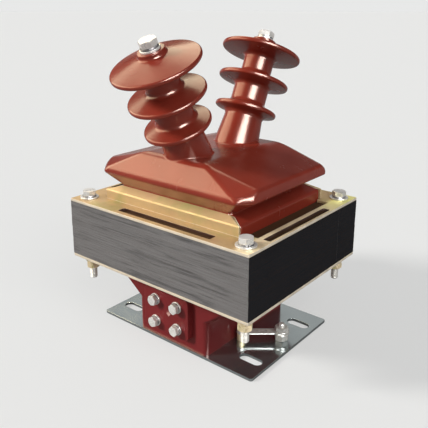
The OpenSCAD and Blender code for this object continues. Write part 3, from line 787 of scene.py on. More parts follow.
def hump_solid(size):
    """The hump: a rim with cut corners, undercut down to the core and sloping up to a flat top."""
    skirt = cad("core_e_stack")[1].z
    rim_x, rim_y, rim_z = cad("resin_body")[1].x, mm(size.rim_depth) / 2, mm(size.rim_height)
    top_x, top_y, top_z = mm(size.plateau_length) / 2, mm(size.plateau_depth) / 2, mm(size.plateau_height)
    foot_x, foot_y, waist_x, waist_y = 89.5, 72.0, 73.0, 65.2
    foot_z, skirt_z, waist_z = skirt + 0.3, skirt + 12.6, skirt + 18.4
    foot_cut, waist_cut, cut_x, cut_y = 2, 3, 12, 14
    shoulder = (rim_x - 1, rim_y - 20.3, rim_z + 7)
    upper = [(sx * x, sy * y, z) for sx, sy in CORNERS for x, y, z in (shoulder, (top_x, top_y, top_z))]
    bm = stacked([
        cut_rectangle(foot_x, foot_y, foot_cut, foot_cut, foot_z),
        cut_rectangle(foot_x, foot_y, foot_cut, foot_cut, skirt_z),
        cut_rectangle(waist_x, waist_y, waist_cut, waist_cut, waist_z),
        cut_rectangle(rim_x - 0.3, rim_y - 0.3, cut_x, cut_y, rim_z - 4.4),
        cut_rectangle(rim_x, rim_y, cut_x, cut_y, rim_z),
        sorted(upper, key=direction),
    ])

    def crease(*ends):
        """Splits the skin along the line between two corners."""
        verts = [min(bm.verts, key=lambda v: (v.co - Vector(end)).length) for end in ends]
        bmesh.ops.connect_verts(bm, verts=verts)

    for sx in (-1, 1):
        crease((sx * top_x, -top_y, top_z), (sx * top_x, top_y, top_z))
        for sy in (-1, 1):
            crease((sx * (rim_x - cut_x), sy * rim_y, rim_z),
                   (sx * shoulder[0], sy * shoulder[1], shoulder[2]))

    def rule(low, high):
        """Sharp at the skirt's foot, soft on the rim, and softest round the flat top."""
        if high.z < skirt + 14:
            return 0.0 if high.z < skirt + 1 else 0.5 if low.z > skirt + 1 else 0.2
        if low.z < rim_z - 10:
            return 0.2 if high.z - low.z > 1 else 0.4
        if high.z < rim_z - 1:
            return 0.26
        if low.z > top_z - 1:
            return 1.0
        if high.z < rim_z + 1 and low.z > rim_z - 1:
            return 0.58
        return 0.3 if low.z < rim_z - 1 else 0.6

    weigh(bm, rule)
    return bm


# A bushing, in millimetres. FOOT is its foot's middle in Y and Z, and the other heights are above that foot,
# along the bushing's axis. A shed is its radius and the height of its middle, the boss its radius and the
# height of its top. STEMS are the stem's radii just below the sheds. ROOT is the stem's end inside the hump.
FOOT = (40.0, 200.5)
FOOT_RADIUS = 24.4
ROOT = -14
STEM_TOP = 31.9
SHEDS = ((34.5, 37.4), (39.5, 70.9), (44.7, 104.4))
STEMS = (21.0, 19.5, 17.0)
BOSS = (13.5, 119.4)
BOSS_FOOT = 114.4


def on_bushing(size, side):
    """The place of a bushing's foot, its Z along the bushing's axis."""
    return (Matrix.Translation((0, side * FOOT[0], FOOT[1]))
            @ Matrix.Rotation(-side * size.bushing_lean, 4, "X"))


def stem_radius(along):
    """The lowest stem's radius at a height above its foot."""
    return FOOT_RADIUS - max(0.0, along) * (FOOT_RADIUS - STEMS[0]) / STEM_TOP


def bushing_solid(size):
    """One bushing, turned: a stem with three sheds and the boss for the terminal bolt."""
    soft = mm(size.shed_round)
    half, rounding, boss_soft, boss_edge = 2.2, 2.1, 3, 0.9
    outline = [(0, ROOT, 0), (FOOT_RADIUS, ROOT, 0), (FOOT_RADIUS, 0, 0), (STEMS[0], STEM_TOP, soft)]
    uppers = (6.5, 7.5)
    for i, (radius, middle) in enumerate(SHEDS):
        outline += [(radius, middle - half, rounding), (radius, middle + half, rounding)]
        if i < len(uppers):
            stem = STEMS[i + 1]
            outline += [(stem, middle + uppers[i], soft), (stem, SHEDS[i + 1][1] - 5, soft)]
    outline += [(BOSS[0], BOSS_FOOT, boss_soft), (*BOSS, boss_edge), (0, BOSS[1], 0)]
    return turned(outline, size.bushing_steps)


def foot_fillet(size, side, hump_tree):
    """The fillet between a bushing's stem and the hump, on the curve where the two meet."""
    place = on_bushing(size, side)
    reach = mm(size.foot_fillet)
    steps = size.bushing_steps
    above, sunk = 60, 0.02

    def down_to_hump(radius, turn):
        """Height along the axis at which a line beside the axis meets the hump."""
        start = place @ Vector((radius * math.cos(turn), radius * math.sin(turn), above))
        axis = place.to_3x3() @ Vector((0, 0, -1))
        hit = hump_tree.ray_cast(start, axis)[0]
        if hit is None:
            raise RuntimeError("a bushing's foot misses the hump")
        return above - (hit - start).length

    profiles = []
    for i in range(steps):
        turn = 2 * math.pi * i / steps
        radius = FOOT_RADIUS
        for _ in range(3):
            meet = down_to_hump(radius, turn)
            radius = stem_radius(meet)
        high = Vector((stem_radius(meet + reach) - sunk, meet + reach))
        corner = Vector((radius, meet))
        low = Vector((radius + reach, down_to_hump(radius + reach, turn) - sunk))
        curve = [high.lerp(corner, t).lerp(corner.lerp(low, t), t) for t in (0, 0.2, 0.4, 0.6, 0.8, 1)]
        profiles.append(curve + [Vector((radius - 1.5, meet - 2.0))])

    bm = bmesh.new()
    loops = []
    for k in range(len(profiles[0])):
        verts = bmesh.ops.create_circle(bm, cap_ends=False, segments=steps, radius=1)["verts"]
        for vert in verts:
            turn = math.atan2(vert.co.y, vert.co.x) % (2 * math.pi)
            radius, along = profiles[round(turn / (2 * math.pi) * steps) % steps][k]
            vert.co = (radius * math.cos(turn), radius * math.sin(turn), along)
        loops.append(list({e for v in verts for e in v.link_edges}))
    for first, second in zip(loops, loops[1:] + loops[:1]):
        bmesh.ops.bridge_loops(bm, edges=first + second)
    bmesh.ops.recalc_face_normals(bm, faces=bm.faces)
    bmesh.ops.transform(bm, matrix=place, verts=bm.verts)
    return bm


def pedestal_solid():
    """The pedestal below the core, which widens to carry it."""
    low, high = cad("base_plate")[1].z, cad("core_e_stack")[0].z
    narrow, wide = rectangle(48, 70), rectangle(80, 70)
    widens_from, widens_to = 40, 64
    bm = stacked([in_order(narrow, low), in_order(narrow, widens_from), in_order(wide, widens_to),
                  in_order(wide, high)])

    def rule(bottom, top):
        """Soft on the edges that rise, and less so on the folds along Y, between which it widens."""
        if top.z - bottom.z > 1:
            return 1.0
        return 0.6 if low + 1 < bottom.z < high - 1 and abs(bottom.x - top.x) < 1 else 0.0

    weigh(bm, rule)
    return bm


class BuildStep:
    """What every operator here shares."""
    bl_options = {"REGISTER", "UNDO"}


# The terminal pad, in millimetres. FACING turns what sits on it from +Z to -Y.
FACING = Matrix.Rotation(math.pi / 2, 4, "X")
PAD_FRONT = -76.0
PAD_DEPTH = 11


class TRANSFORMER_OT_hump(BuildStep, bpy.types.Operator):
    """Build the hump above the core"""
    bl_idname = "transformer.hump"
    bl_label = "Hump"

    def execute(self, context):
        size, _ = sizes(context)
        finished(hump_solid(size), "casting_hump", "resin", ["resin_body"], rounding=mm(size.edge_round))
        return {"FINISHED"}


class TRANSFORMER_OT_bushings(BuildStep, bpy.types.Operator):
    """Build the two ribbed bushings and the fillets at their feet"""
    bl_idname = "transformer.bushings"
    bl_label = "Bushings"

    def execute(self, context):
        size, _ = sizes(context)
        hump_piece = bpy.data.objects.get("casting_hump")
        if hump_piece is None:
            raise RuntimeError("the bushings stand on the hump, so build the hump first")
        shape = bmesh.new()
        shape.from_object(hump_piece, context.evaluated_depsgraph_get())
        bmesh.ops.scale(shape, vec=(1 / MM,) * 3, verts=shape.verts)
        tree = BVHTree.FromBMesh(shape)
        shape.free()
        for side, name in ((-1, "casting_bushing_left"), (1, "casting_bushing_right")):
            bm = joined(bmesh.new(), bushing_solid(size), on_bushing(size, side))
            joined(bm, foot_fillet(size, side, tree))
            finished(bm, name, "resin", ["resin_body"], sharp=50)
        return {"FINISHED"}


class TRANSFORMER_OT_pedestal(BuildStep, bpy.types.Operator):
    """Build the pedestal with its terminal pad, and the columns through the core"""
    bl_idname = "transformer.pedestal"
    bl_label = "Pedestal"

    def execute(self, context):
        size, _ = sizes(context)
        # The pedestal and its pad take the resin darkened as painted shade.
        painted_shade_resin = materials()["resin_painted_shade"]
        finished(pedestal_solid(), "casting_pedestal", "resin", ["resin_body"], painted_shade_resin,
                 rounding=mm(size.pedestal_round))
        columns = bmesh.new()
        window, foot, height = 60, 80.5, 62.5
        for side in (-1, 1):
            joined(columns, plate(rectangle(19.5, 59.5, 1), [], height, 0.5),
                   Matrix.Translation((side * window, 0, foot)))
        finished(columns, "casting_columns", "resin", ["resin_body"])
        pad = joined(bmesh.new(), plate(rectangle(31, 23, 5), [], PAD_DEPTH, mm(size.pad_round)),
                     Matrix.Translation((-3, PAD_FRONT + PAD_DEPTH, 37)) @ FACING)
        finished(pad, "casting_terminal_pad", "resin", ["resin_body"], painted_shade_resin)
        reach, rounding = 2.97, 0.3
        diamond = [(0, -reach, rounding), (reach, 0, rounding), (0, reach, rounding), (-reach, 0, rounding)]
        mark = joined(bmesh.new(), plate(diamond, [], 1, 0.2),
                      Matrix.Translation((1.4, PAD_FRONT + 0.5, 37.6)) @ FACING)
        finished(mark, "casting_pad_mark", "resin", ["resin_body"], materials()["mark"])
        return {"FINISHED"}


# Core and clamp frames

# In millimetres. A slot of the top frame is its two half sizes and its middle; a half turn gives the others.
BOLT_X, BOLT_Y = 106, 85
CORE_BOLTS = [(sx * BOLT_X, sy * BOLT_Y) for sx, sy in CORNERS]
FRAME_SLOTS = ((61, 4.5, 11, -89.5), (3.75, 54.5, 113.25, -9.5))


def sheet_stack(outline, holes, low, high, size):
    """Separate sheets, each a little out of line with its neighbours."""
    solid_share, memory, nudge = 0.93, 0.85, 0.35
    dice = random.Random(7)
    pitch = mm(size.sheet_thickness)
    count = round((high - low) / pitch)
    stagger = mm(size.sheet_stagger)
    bm = plate(outline, holes, pitch * solid_share)
    bmesh.ops.translate(bm, verts=bm.verts, vec=(0, 0, low))
    first = bm.verts[:] + bm.edges[:] + bm.faces[:]
    drift = Vector((0, 0))
    for layer in range(1, count):
        copy = bmesh.ops.duplicate(bm, geom=first)["geom"]
        drift = drift * memory + Vector((dice.uniform(-1, 1), dice.uniform(-1, 1))) * stagger * nudge
        aside = [max(-stagger, min(stagger, drift[axis])) for axis in (0, 1)]
        bmesh.ops.translate(bm, verts=moved(copy), vec=(*aside, pitch * layer))
    return bm


class TRANSFORMER_OT_core(BuildStep, bpy.types.Operator):
    """Build the laminated core, sheet by sheet"""
    bl_idname = "transformer.core"
    bl_label = "Core"

    def execute(self, context):
        _, size = sizes(context)
        low, high = cad("core_e_stack")
        low_i, high_i = cad("core_i_stack")
        slack = mm(size.sheet_stagger)
        x, front, split, back = high.x - slack, low.y + slack, low_i.y - 0.1, high_i.y - slack
        limb, leg, root = 80, 40, -60
        e_outline = [(-x, front), (x, front), (x, split), (limb, split), (limb, root), (leg, root),
                     (leg, split), (-leg, split), (-leg, root), (-limb, root), (-limb, split), (-x, split)]
        i_outline = [(-x, split + 0.2), (x, split + 0.2), (x, back), (-x, back)]
        for node, outline, side in (("core_e_stack", e_outline, -1), ("core_i_stack", i_outline, 1)):
            holes = [round_hole(bx, by, 5.4) for bx, by in CORE_BOLTS if by * side > 0]
            sheets = sheet_stack([(px, py, 0) for px, py in outline], holes, low.z, high.z, size)
            finished(sheets, "sheets_of_" + node, "lamination", [node])
        return {"FINISHED"}


def frame_lip(size):
    """One bent lip, along X on the -Y side, its ends mitred where it leans on the casting."""
    fold = mm(size.fold_round)
    half, bend, rise, mitre = 90, 155, 5.6, 17
    section = [(72.5, 142.1, 0), (74.5, 142.1, 0), (74.5, 155.0, fold), (66.0, 160.6, 0.4),
               (64.9, 158.95, 0.4), (72.5, 153.9, max(0.1, fold - 2))]
    bm = bmesh.new()
    rounded_face(bm, section)
    grown = bmesh.ops.extrude_face_region(bm, geom=bm.faces[:])["geom"]
    bmesh.ops.translate(bm, verts=moved(grown), vec=(0, 0, 2 * half))
    for v in bm.verts:
        out, up, along = v.co
        end = half - max(0.0, up - bend) / rise * mitre
        v.co = (max(-end, min(end, along - half)), -out, up)
    bmesh.ops.recalc_face_normals(bm, faces=bm.faces)
    return bm


class TRANSFORMER_OT_frames(BuildStep, bpy.types.Operator):
    """Build the clamp frames above and below the core"""
    bl_idname = "transformer.frames"
    bl_label = "Clamp frames"

    def execute(self, context):
        _, size = sizes(context)
        edge = mm(size.frame_edge)
        bolt_holes = [round_hole(x, y, 4.5) for x, y in CORE_BOLTS]
        quarter = [(104, -64.5), (104, 64.5), (90.5, 64.5), (90.5, 72.5), (-90.5, 72.5), (-90.5, 64.5)]
        window = [(x, y, 0.8) for x, y in quarter + [(-x, -y) for x, y in quarter]]
        sheet, corner = 3, 1.2
        slots = [rectangle(x, y, corner, (turn * at_x, turn * at_y))
                 for turn in (1, -1) for x, y, at_x, at_y in FRAME_SLOTS]
        low, high = cad("top_clamp_frame")
        flat = plate(rectangle(high.x, high.y, corner), [window] + slots + bolt_holes, sheet, edge)
        upper = joined(bmesh.new(), flat, Matrix.Translation((0, 0, low.z)))
        for turn in (0, math.pi):
            joined(upper, frame_lip(size), Matrix.Rotation(turn, 4, "Z"))
        finished(upper, "upper_clamp_frame", "yellow_zinc_sheet", ["top_clamp_frame"])
        low, high = cad("bottom_clamp_frame")
        holes = [rectangle(84, 73, 1)] + bolt_holes
        flat = plate(rectangle(high.x, high.y, corner), holes, high.z - low.z, edge)
        lower = joined(bmesh.new(), flat, Matrix.Translation((0, 0, low.z)))
        finished(lower, "lower_clamp_frame", "yellow_zinc_sheet", ["bottom_clamp_frame"])
        return {"FINISHED"}


# Fasteners and terminals

def many(make, places):
    """Copies of a part at several places, in one mesh."""
    bm = bmesh.new()
    for place in places:
        joined(bm, make(), place)
    return bm


def uprights(z, turn_step=0.0):
    """Places over the core bolts, each turned a bit further than the last."""
    return [Matrix.Translation((x, y, z)) @ Matrix.Rotation(turn_step * (i + 1), 4, "Z")
            for i, (x, y) in enumerate(CORE_BOLTS)]


# Fasteners, in millimetres. OVERLAP is how far a shank or a foot reaches into what it joins.
# The terminals' places are in X and Z, and those of the stud and the post in X and Y.
M8_PITCH = 1.25
M8_SHANK = 3.98
M8_NUT = {"flats": 13, "bore": 7.9}
OVERLAP = 0.2
LOW_TERMINALS = ((-17, 24), (13, 24), (-17, 49), (13, 49))
STUD = (88.0, 6.0)
POST = (55.0, -21.1)


def plain_bolt(flats, height, radius, reach, steps=32):
    """A hexagon bolt with a plain shank that reaches down from its seat at z 0."""
    return joined(hexagon(flats, height, both=False), rod(radius, -reach, OVERLAP, steps=steps))


def core_bolt():
    """Head, shank and thread of a core bolt, from its seat."""
    thread = threaded(diameter=8, pitch=M8_PITCH, start=-72, end=-98)
    return joined(plain_bolt(flats=13, height=5.3, radius=M8_SHANK, reach=74), thread)


class TRANSFORMER_OT_core_fasteners(BuildStep, bpy.types.Operator):
    """Build the core bolts with their washers, nuts and locknuts"""
    bl_idname = "transformer.core_fasteners"
    bl_label = "Core fasteners"

    def execute(self, context):
        _, size = sizes(context)

        def flat():
            return washer(outer=20, inner=8.4, thickness=1.6, edge=mm(size.washer_edge))

        def split():
            return spring_washer(outer=14.5, inner=8.4, thickness=1.6)

        def nut():
            return hexagon(height=6.5, **M8_NUT)

        seats = uprights(top_of("top_spring_washers"), 0.37)
        finished(many(core_bolt, seats), "core_bolt_set", "bright_zinc", ["core_bolts"])
        for name, make, turn_step, slot, node in (
                ("core_washers", flat, 0.0, "bright_zinc", "top_washers"),
                ("core_spring_washers", split, 1.9, "dark_spring_steel", "top_spring_washers"),
                ("core_lower_washers", flat, 0.0, "yellow_zinc", "bottom_washers"),
                ("core_hex_nuts", nut, 0.9, "yellow_zinc", "core_nuts"),
                ("core_hex_locknuts", nut, 0.35, "yellow_zinc", "core_locknuts")):
            finished(many(make, uprights(foot_of(node), turn_step)), name, slot, [node])
        return {"FINISHED"}


class TRANSFORMER_OT_base_plate(BuildStep, bpy.types.Operator):
    """Build the slotted base plate"""
    bl_idname = "transformer.base_plate"
    bl_label = "Base plate"

    def execute(self, context):
        _, size = sizes(context)
        _, high = cad("base_plate")
        slot_x, slot_y, slot_radius, screw_x, screw_y, screw_radius = 85, 45, 5.5, 32, 50, 6.2
        holes = [rectangle(13, slot_radius, slot_radius, (sx * slot_x, sy * slot_y)) for sx, sy in CORNERS]
        holes += [round_hole(sx * screw_x, sy * screw_y, screw_radius) for sx, sy in CORNERS]
        holes += [round_hole(*STUD, 4.05), round_hole(*POST, 2.6)]
        slotted = plate(rectangle(high.x, high.y, 3), holes, high.z, mm(size.plate_edge))
        finished(slotted, "slotted_base_plate", "blue_zinc_plate", ["base_plate"])
        return {"FINISHED"}


class TRANSFORMER_OT_high_terminals(BuildStep, bpy.types.Operator):
    """Build the bolts and washers on top of the bushings"""
    bl_idname = "transformer.high_terminals"
    bl_label = "High-voltage terminals"

    def execute(self, context):
        casting, size = sizes(context)

        def over_boss(height, turn):
            """Places over the bosses of both bushings, turned opposite ways."""
            return [on_bushing(casting, side) @ Matrix.Translation((0, 0, BOSS[1] + height))
                    @ Matrix.Rotation(turn * side, 4, "Z") for side in (-1, 1)]

        def bolt():
            return plain_bolt(flats=16, height=6.4, radius=4.9, reach=20)

        def flat():
            return washer(outer=20, inner=10.5, thickness=2, edge=mm(size.washer_edge))

        def split():
            return spring_washer(outer=18, inner=10.5, thickness=2.2)

        for name, make, height, turn, slot, node in (
                ("high_terminal_bolts", bolt, 4.2, 0.5, "bright_zinc", "hv_bolts"),
                ("high_terminal_washers", flat, 0.0, 0.0, "bright_zinc", "hv_washers"),
                ("high_terminal_spring_washers", split, 2.0, 2.0, "dark_spring_steel", "hv_spring_washers")):
            finished(many(make, over_boss(height, turn)), name, slot, [node])
        return {"FINISHED"}


class TRANSFORMER_OT_low_terminals(BuildStep, bpy.types.Operator):
    """Build the four bolts and their washers on the terminal pad"""
    bl_idname = "transformer.low_terminals"
    bl_label = "Low-voltage terminals"

    def execute(self, context):
        _, size = sizes(context)

        def off_pad(distance, turn_step):
            """Places in front of the pad, each turned a bit further than the last."""
            return [Matrix.Translation((x, PAD_FRONT - distance, z)) @ FACING
                    @ Matrix.Rotation(turn_step * (i + 1), 4, "Z") for i, (x, z) in enumerate(LOW_TERMINALS)]

        def bolt():
            return plain_bolt(flats=10, height=4, radius=2.9, reach=14, steps=24)

        def flat():
            return washer(outer=12.5, inner=6.4, thickness=1.6, edge=mm(size.washer_edge))

        def split():
            return spring_washer(outer=11, inner=6.4, thickness=1.5)

        for name, make, distance, turn_step, slot, node in (
                ("low_terminal_bolts", bolt, 3.1, 0.44, "bright_zinc", "lv_bolts"),
                ("low_terminal_washers", flat, 0.0, 0.0, "bright_zinc", "lv_washers"),
                ("low_terminal_spring_washers", split, 1.6, 1.7, "dark_spring_steel", "lv_spring_washers")):
            finished(many(make, off_pad(distance, turn_step)), name, slot, [node])
        return {"FINISHED"}


def slotted_head():
    """A round screw head with a straight slot."""
    radius, floor, top, half_slot = 4.5, 1.8, 3, 0.6
    bm = rod(radius, 0, floor, steps=SIDES)
    for side in (-1, 1):
        half = rod(radius, floor, top, 0.0, 0.4, SIDES)
        bmesh.ops.bisect_plane(half, geom=half.verts[:] + half.edges[:] + half.faces[:],
                               plane_co=(0, side * half_slot, 0), plane_no=(0, side, 0), clear_inner=True)
        bmesh.ops.holes_fill(half, edges=half.edges, sides=0)
        joined(bm, half)
    return bm


class TRANSFORMER_OT_earth(BuildStep, bpy.types.Operator):
    """Build the earth stud, its post and the strap between them"""
    bl_idname = "transformer.earth"
    bl_label = "Earth terminal"

    def execute(self, context):
        _, size = sizes(context)
        aim = math.atan2(POST[1] - STUD[1], POST[0] - STUD[0])
        span = math.hypot(POST[1] - STUD[1], POST[0] - STUD[0])
        plate_top, strap_foot, strap_top = top_of("base_plate"), foot_of("earth_strap"), top_of("earth_strap")

        def over(place, z, turn=0.0):
            """A place over a point of the base plate."""
            return Matrix.Translation((*place, z)) @ Matrix.Rotation(turn, 4, "Z")

        def flat():
            return washer(outer=16, inner=8.4, thickness=1.6, edge=mm(size.washer_edge))

        stud = joined(threaded(diameter=8, pitch=M8_PITCH, start=2, end=top_of("earth_stud")),
                      rod(M8_SHANK, 0, plate_top + OVERLAP, 0.2))
        lug, bar = 6.5, 5
        strap_outline = [(-lug, -lug, 6.4), (5.2, -lug, 3), (7.6, -bar, 2), (span + bar, -bar, 4.95),
                         (span + bar, bar, 4.95), (7.6, bar, 2), (5.2, lug, 3), (-lug, lug, 6.4)]
        strap = plate(strap_outline, [round_hole(0, 0, 4.2), round_hole(span, 0, 2.6)], 1.5, 0.25)
        post = joined(rod(4.5, plate_top, strap_foot, 0.0, 0.4, SIDES),
                      rod(2.5, 0, plate_top + OVERLAP, 0.2))
        under, above = hexagon(height=6.5, **M8_NUT), hexagon(height=4, **M8_NUT)
        washers = many(flat, [over(STUD, foot_of("earth_washers")), over(STUD, strap_top)])
        for name, mesh, place, slot, node in (
                ("earth_threaded_stud", stud, over(STUD, 0), "bright_zinc", "earth_stud"),
                ("earth_nut_below", under, over(STUD, plate_top, 0.2), "bright_zinc", "earth_lower_nut"),
                ("earth_nut_above", above, over(STUD, foot_of("earth_upper_nut"), 0.26), "bright_zinc",
                 "earth_upper_nut"),
                ("earth_plain_washers", washers, None, "bright_zinc", "earth_washers"),
                ("earth_strap_bar", strap, over(STUD, strap_foot, aim), "bright_zinc", "earth_strap"),
                ("earth_round_post", post, over(POST, 0), "yellow_zinc", "earth_post"),
                ("earth_slotted_screw", slotted_head(), over(POST, strap_top, 0.7), "bright_zinc",
                 "earth_post_screw")):
            finished(joined(bmesh.new(), mesh, place), name, slot, [node])
        return {"FINISHED"}


class TRANSFORMER_OT_inside(BuildStep, bpy.types.Operator):
    """Finish the hidden parts that stay as the CAD made them: coil, leads, inserts and sleeves"""
    bl_idname = "transformer.inside"
    bl_label = "Inner parts"

    def execute(self, context):
        slots = {row["node"]: row["material_slot"] for row in frame["record"]["subparts"]}
        for name, piece in frame["nodes"].items():
            if not piece.hide_render:
                finish = materials()[slots[name]]
                for kept in piece.material_slots:
                    kept.material = finish
                if not piece.material_slots:
                    piece.data.materials.append(finish)
        return {"FINISHED"}


# Stage

# Where the key and the fill light come from, and the point that every lamp looks at, in metres.
KEY_FROM = Vector((-1.24, -1.24, 1.05))
FILL_FROM = Vector((1.30, -0.50, 1.05))
MIDDLE = Vector((0, 0, 0.15))
GOLDEN = (1.0, 0.85, 0.60)
NEARLY_WHITE = (1.0, 0.98, 0.95)
# Each panel: its name, the setting that holds its power, its place, width, height and tint.
PANELS = (
    ("Left panel", "left_panel", (-1.04, -0.87, 0.82), 2.0, 1.0, GOLDEN),
    ("Right panel", "right_panel", (1.19, -0.60, 0.78), 0.9, 0.9, NEARLY_WHITE),
    ("Upper panel", "upper_panel", (-0.95, 0.50, 1.50), 1.4, 1.0, GOLDEN),
    ("Back panel", "back_panel", (-0.31, 0.37, 0.30), 0.66, 0.20, NEARLY_WHITE),
)


def soft_light(name, kind, place, **settings):
    """A lamp at a place, turned to the object's middle."""
    lamp = bpy.data.lights.new(name, kind)
    for key, value in settings.items():
        setattr(lamp, key, value)
    holder = bpy.data.objects.new(name, lamp)
    bpy.context.scene.collection.objects.link(holder)
    holder.location = place
    holder.rotation_mode = "QUATERNION"
    holder.rotation_quaternion = (MIDDLE - Vector(place)).to_track_quat("-Z", "Y")
    return holder


def reflection_panel(name, power, place, width, height, tint):
    """A bright panel that shows in shiny surfaces and lights nothing else."""
    panel = soft_light(name, "AREA", place, energy=power, shape="RECTANGLE", size=width, size_y=height,
                       color=tint)
    panel.visible_diffuse = False
    panel.visible_camera = False
    panel.data.use_nodes = True
    tree = panel.data.node_tree
    path = add(tree, "LightPath")
    direct = add(tree, "Math", {0: path.outputs["Diffuse Depth"], 1: 0.5}, operation="LESS_THAN")
    tree.links.new(direct.outputs[0], tree.nodes["Emission"].inputs["Strength"])


def level_share(place):
    """How much of a far lamp's light a level surface takes."""
    return (place - MIDDLE).normalized().z / math.pi


def lay_floor(stage):
    """A plain pale floor that keeps the object's shadow.

    The camera sees a share of it lit, and the rest as an even glow. The glow is chosen so that the open floor
    has the background's colour.
    """
    reach, drop = 40, 0.0002
    bm = bmesh.new()
    bmesh.ops.create_grid(bm, x_segments=1, y_segments=1, size=reach)
    bmesh.ops.translate(bm, verts=bm.verts, vec=(0, 0, -drop))
    mesh = bpy.data.meshes.new("floor")
    bm.to_mesh(mesh)
    bm.free()
    floor = bpy.data.objects.new("floor", mesh)
    bpy.context.scene.collection.objects.link(floor)
    pale = bpy.data.materials.new("Pale floor")
    pale.use_nodes = True
    tree = pale.node_tree
    tree.nodes.clear()
    path = add(tree, "LightPath")
    tone = add(tree, "Mix", {0: path.outputs["Is Camera Ray"], 6: (*stage.floor_bounce, 1),
                             7: (*stage.floor, 1)}, data_type="RGBA")
    lit = add(tree, "BsdfDiffuse", {"Color": tone.outputs[2]})
    open_light = stage.ambient + stage.key * level_share(KEY_FROM) + stage.fill * level_share(FILL_FROM)
    rest = [(seen - stage.shadow * own * open_light) / (1 - stage.shadow)
            for seen, own in zip(stage.background, stage.floor)]
    plain = add(tree, "Emission", {"Color": (*rest, 1), "Strength": 1.0})
    share = add(tree, "Math", {0: path.outputs["Is Camera Ray"], 1: 1 - stage.shadow}, operation="MULTIPLY")
    both = add(tree, "MixShader", {0: share.outputs[0], 1: lit.outputs[0], 2: plain.outputs[0]})
    add(tree, "OutputMaterial", {"Surface": both.outputs[0]})
    mesh.materials.append(pale)


def fill_world(stage):
    """Even light from all round. The camera sees the pale backdrop, shiny surfaces a darker room above it."""
    world = bpy.data.worlds.new("Studio")
    bpy.context.scene.world = world
    world.use_nodes = True
    tree = world.node_tree
    tree.nodes.clear()
    path = add(tree, "LightPath")
    ambient = add(tree, "Background", {"Color": (0.98, 0.99, 1.0, 1), "Strength": stage.ambient})
    pale = add(tree, "Background", {"Color": (*stage.background, 1), "Strength": 1.0})
    up = add(tree, "SeparateXYZ", {0: add(tree, "TexCoord").outputs["Generated"]})
    tone = (*stage.background, 1)
    for start, end, above in ((0.0, 0.11, stage.upper_room), (0.45, 0.95, stage.overhead)):
        rise = add(tree, "MapRange", {"Value": up.outputs["Z"], "From Min": start, "From Max": end},
                   interpolation_type="SMOOTHSTEP")
        tone = add(tree, "Mix", {0: rise.outputs["Result"], 6: tone, 7: (*above, 1)},
                   data_type="RGBA").outputs[2]
    room = add(tree, "Background", {"Color": tone, "Strength": 1.0})
    shiny = add(tree, "Math", {0: path.outputs["Is Glossy Ray"], 1: path.outputs["Is Transmission Ray"]},
                operation="MAXIMUM")
    lit = add(tree, "MixShader", {0: shiny.outputs[0], 1: ambient.outputs[0], 2: room.outputs[0]})
    seen = add(tree, "MixShader", {0: path.outputs["Is Camera Ray"], 1: lit.outputs[0], 2: pale.outputs[0]})
    add(tree, "OutputWorld", {"Surface": seen.outputs[0]})


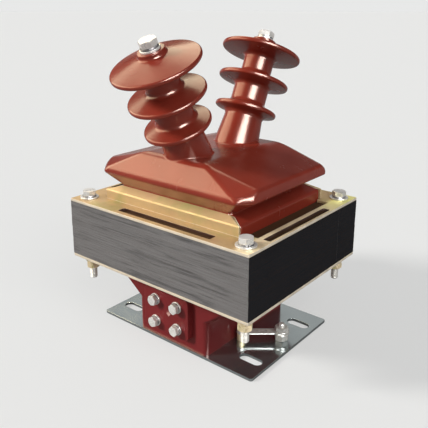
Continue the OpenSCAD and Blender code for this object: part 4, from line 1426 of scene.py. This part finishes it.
class TRANSFORMER_OT_stage(BuildStep, bpy.types.Operator):
    """Set up the floor, the light and the camera"""
    bl_idname = "transformer.stage"
    bl_label = "Stage"

    def execute(self, context):
        stage = context.scene.transformer_stage
        lay_floor(stage)
        fill_world(stage)
        for name, place, power, width in (("Key light", KEY_FROM, stage.key, stage.key_angle),
                                          ("Fill light", FILL_FROM, stage.fill, stage.fill_angle)):
            lamp = soft_light(name, "SUN", place, energy=power, angle=width, color=(1.0, 0.975, 0.94))
            lamp.visible_glossy = False
        for name, setting, place, width, height, tint in PANELS:
            reflection_panel(name, getattr(stage, setting), place, width, height, tint)
        camera = bpy.data.cameras.new("Camera")
        camera.sensor_width = 36.0
        camera.lens = stage.lens
        camera.shift_y = stage.shift
        camera.clip_start, camera.clip_end = 0.01, 100.0
        holder = bpy.data.objects.new("Camera", camera)
        context.scene.collection.objects.link(holder)
        azimuth, pitch = stage.camera_azimuth, stage.camera_pitch
        forward = Vector((-math.sin(azimuth) * math.cos(pitch), math.cos(azimuth) * math.cos(pitch),
                          math.sin(pitch)))
        holder.location = stage.camera_place
        holder.rotation_mode = "QUATERNION"
        holder.rotation_quaternion = forward.to_track_quat("-Z", "Y")
        context.scene.camera = holder
        context.scene.view_settings.view_transform = "Standard"
        return {"FINISHED"}


class TRANSFORMER_PT_panel(bpy.types.Panel):
    """Lists the steps, the sizes and the colours"""
    bl_label = "Voltage transformer"
    bl_idname = "TRANSFORMER_PT_panel"
    bl_space_type = "VIEW_3D"
    bl_region_type = "UI"
    bl_category = "Transformer"

    def draw(self, context):
        for step in STEPS:
            self.layout.operator(step.bl_idname)
        for label, name, kind in SETTINGS:
            box = self.layout.box()
            box.label(text=label)
            for prop in kind.__annotations__:
                box.prop(getattr(context.scene, name), prop)


SETTINGS = (
    ("Casting", "transformer_casting", CastingSizes),
    ("Core and metal", "transformer_metal", MetalSizes),
    ("Colours", "transformer_finishes", Finishes),
    ("Stage", "transformer_stage", StageSettings),
)
STEPS = (
    TRANSFORMER_OT_hump, TRANSFORMER_OT_bushings, TRANSFORMER_OT_pedestal, TRANSFORMER_OT_core,
    TRANSFORMER_OT_frames, TRANSFORMER_OT_core_fasteners, TRANSFORMER_OT_base_plate,
    TRANSFORMER_OT_high_terminals, TRANSFORMER_OT_low_terminals, TRANSFORMER_OT_earth, TRANSFORMER_OT_inside,
    TRANSFORMER_OT_stage,
)
CLASSES = tuple(kind for _, _, kind in SETTINGS) + STEPS + (TRANSFORMER_PT_panel,)


def register():
    """Makes the sizes, the steps and the panel known to Blender."""
    for kind in CLASSES:
        bpy.utils.register_class(kind)
    for _, name, kind in SETTINGS:
        setattr(bpy.types.Scene, name, PointerProperty(type=kind))


def unregister():
    """Takes them out again."""
    for _, name, _ in SETTINGS:
        delattr(bpy.types.Scene, name)
    for kind in reversed(CLASSES):
        bpy.utils.unregister_class(kind)


def main():
    """Builds everything in order."""
    register()
    for step in STEPS:
        group, name = step.bl_idname.split(".")
        getattr(getattr(bpy.ops, group), name)()


if __name__ == "__main__":
    main()
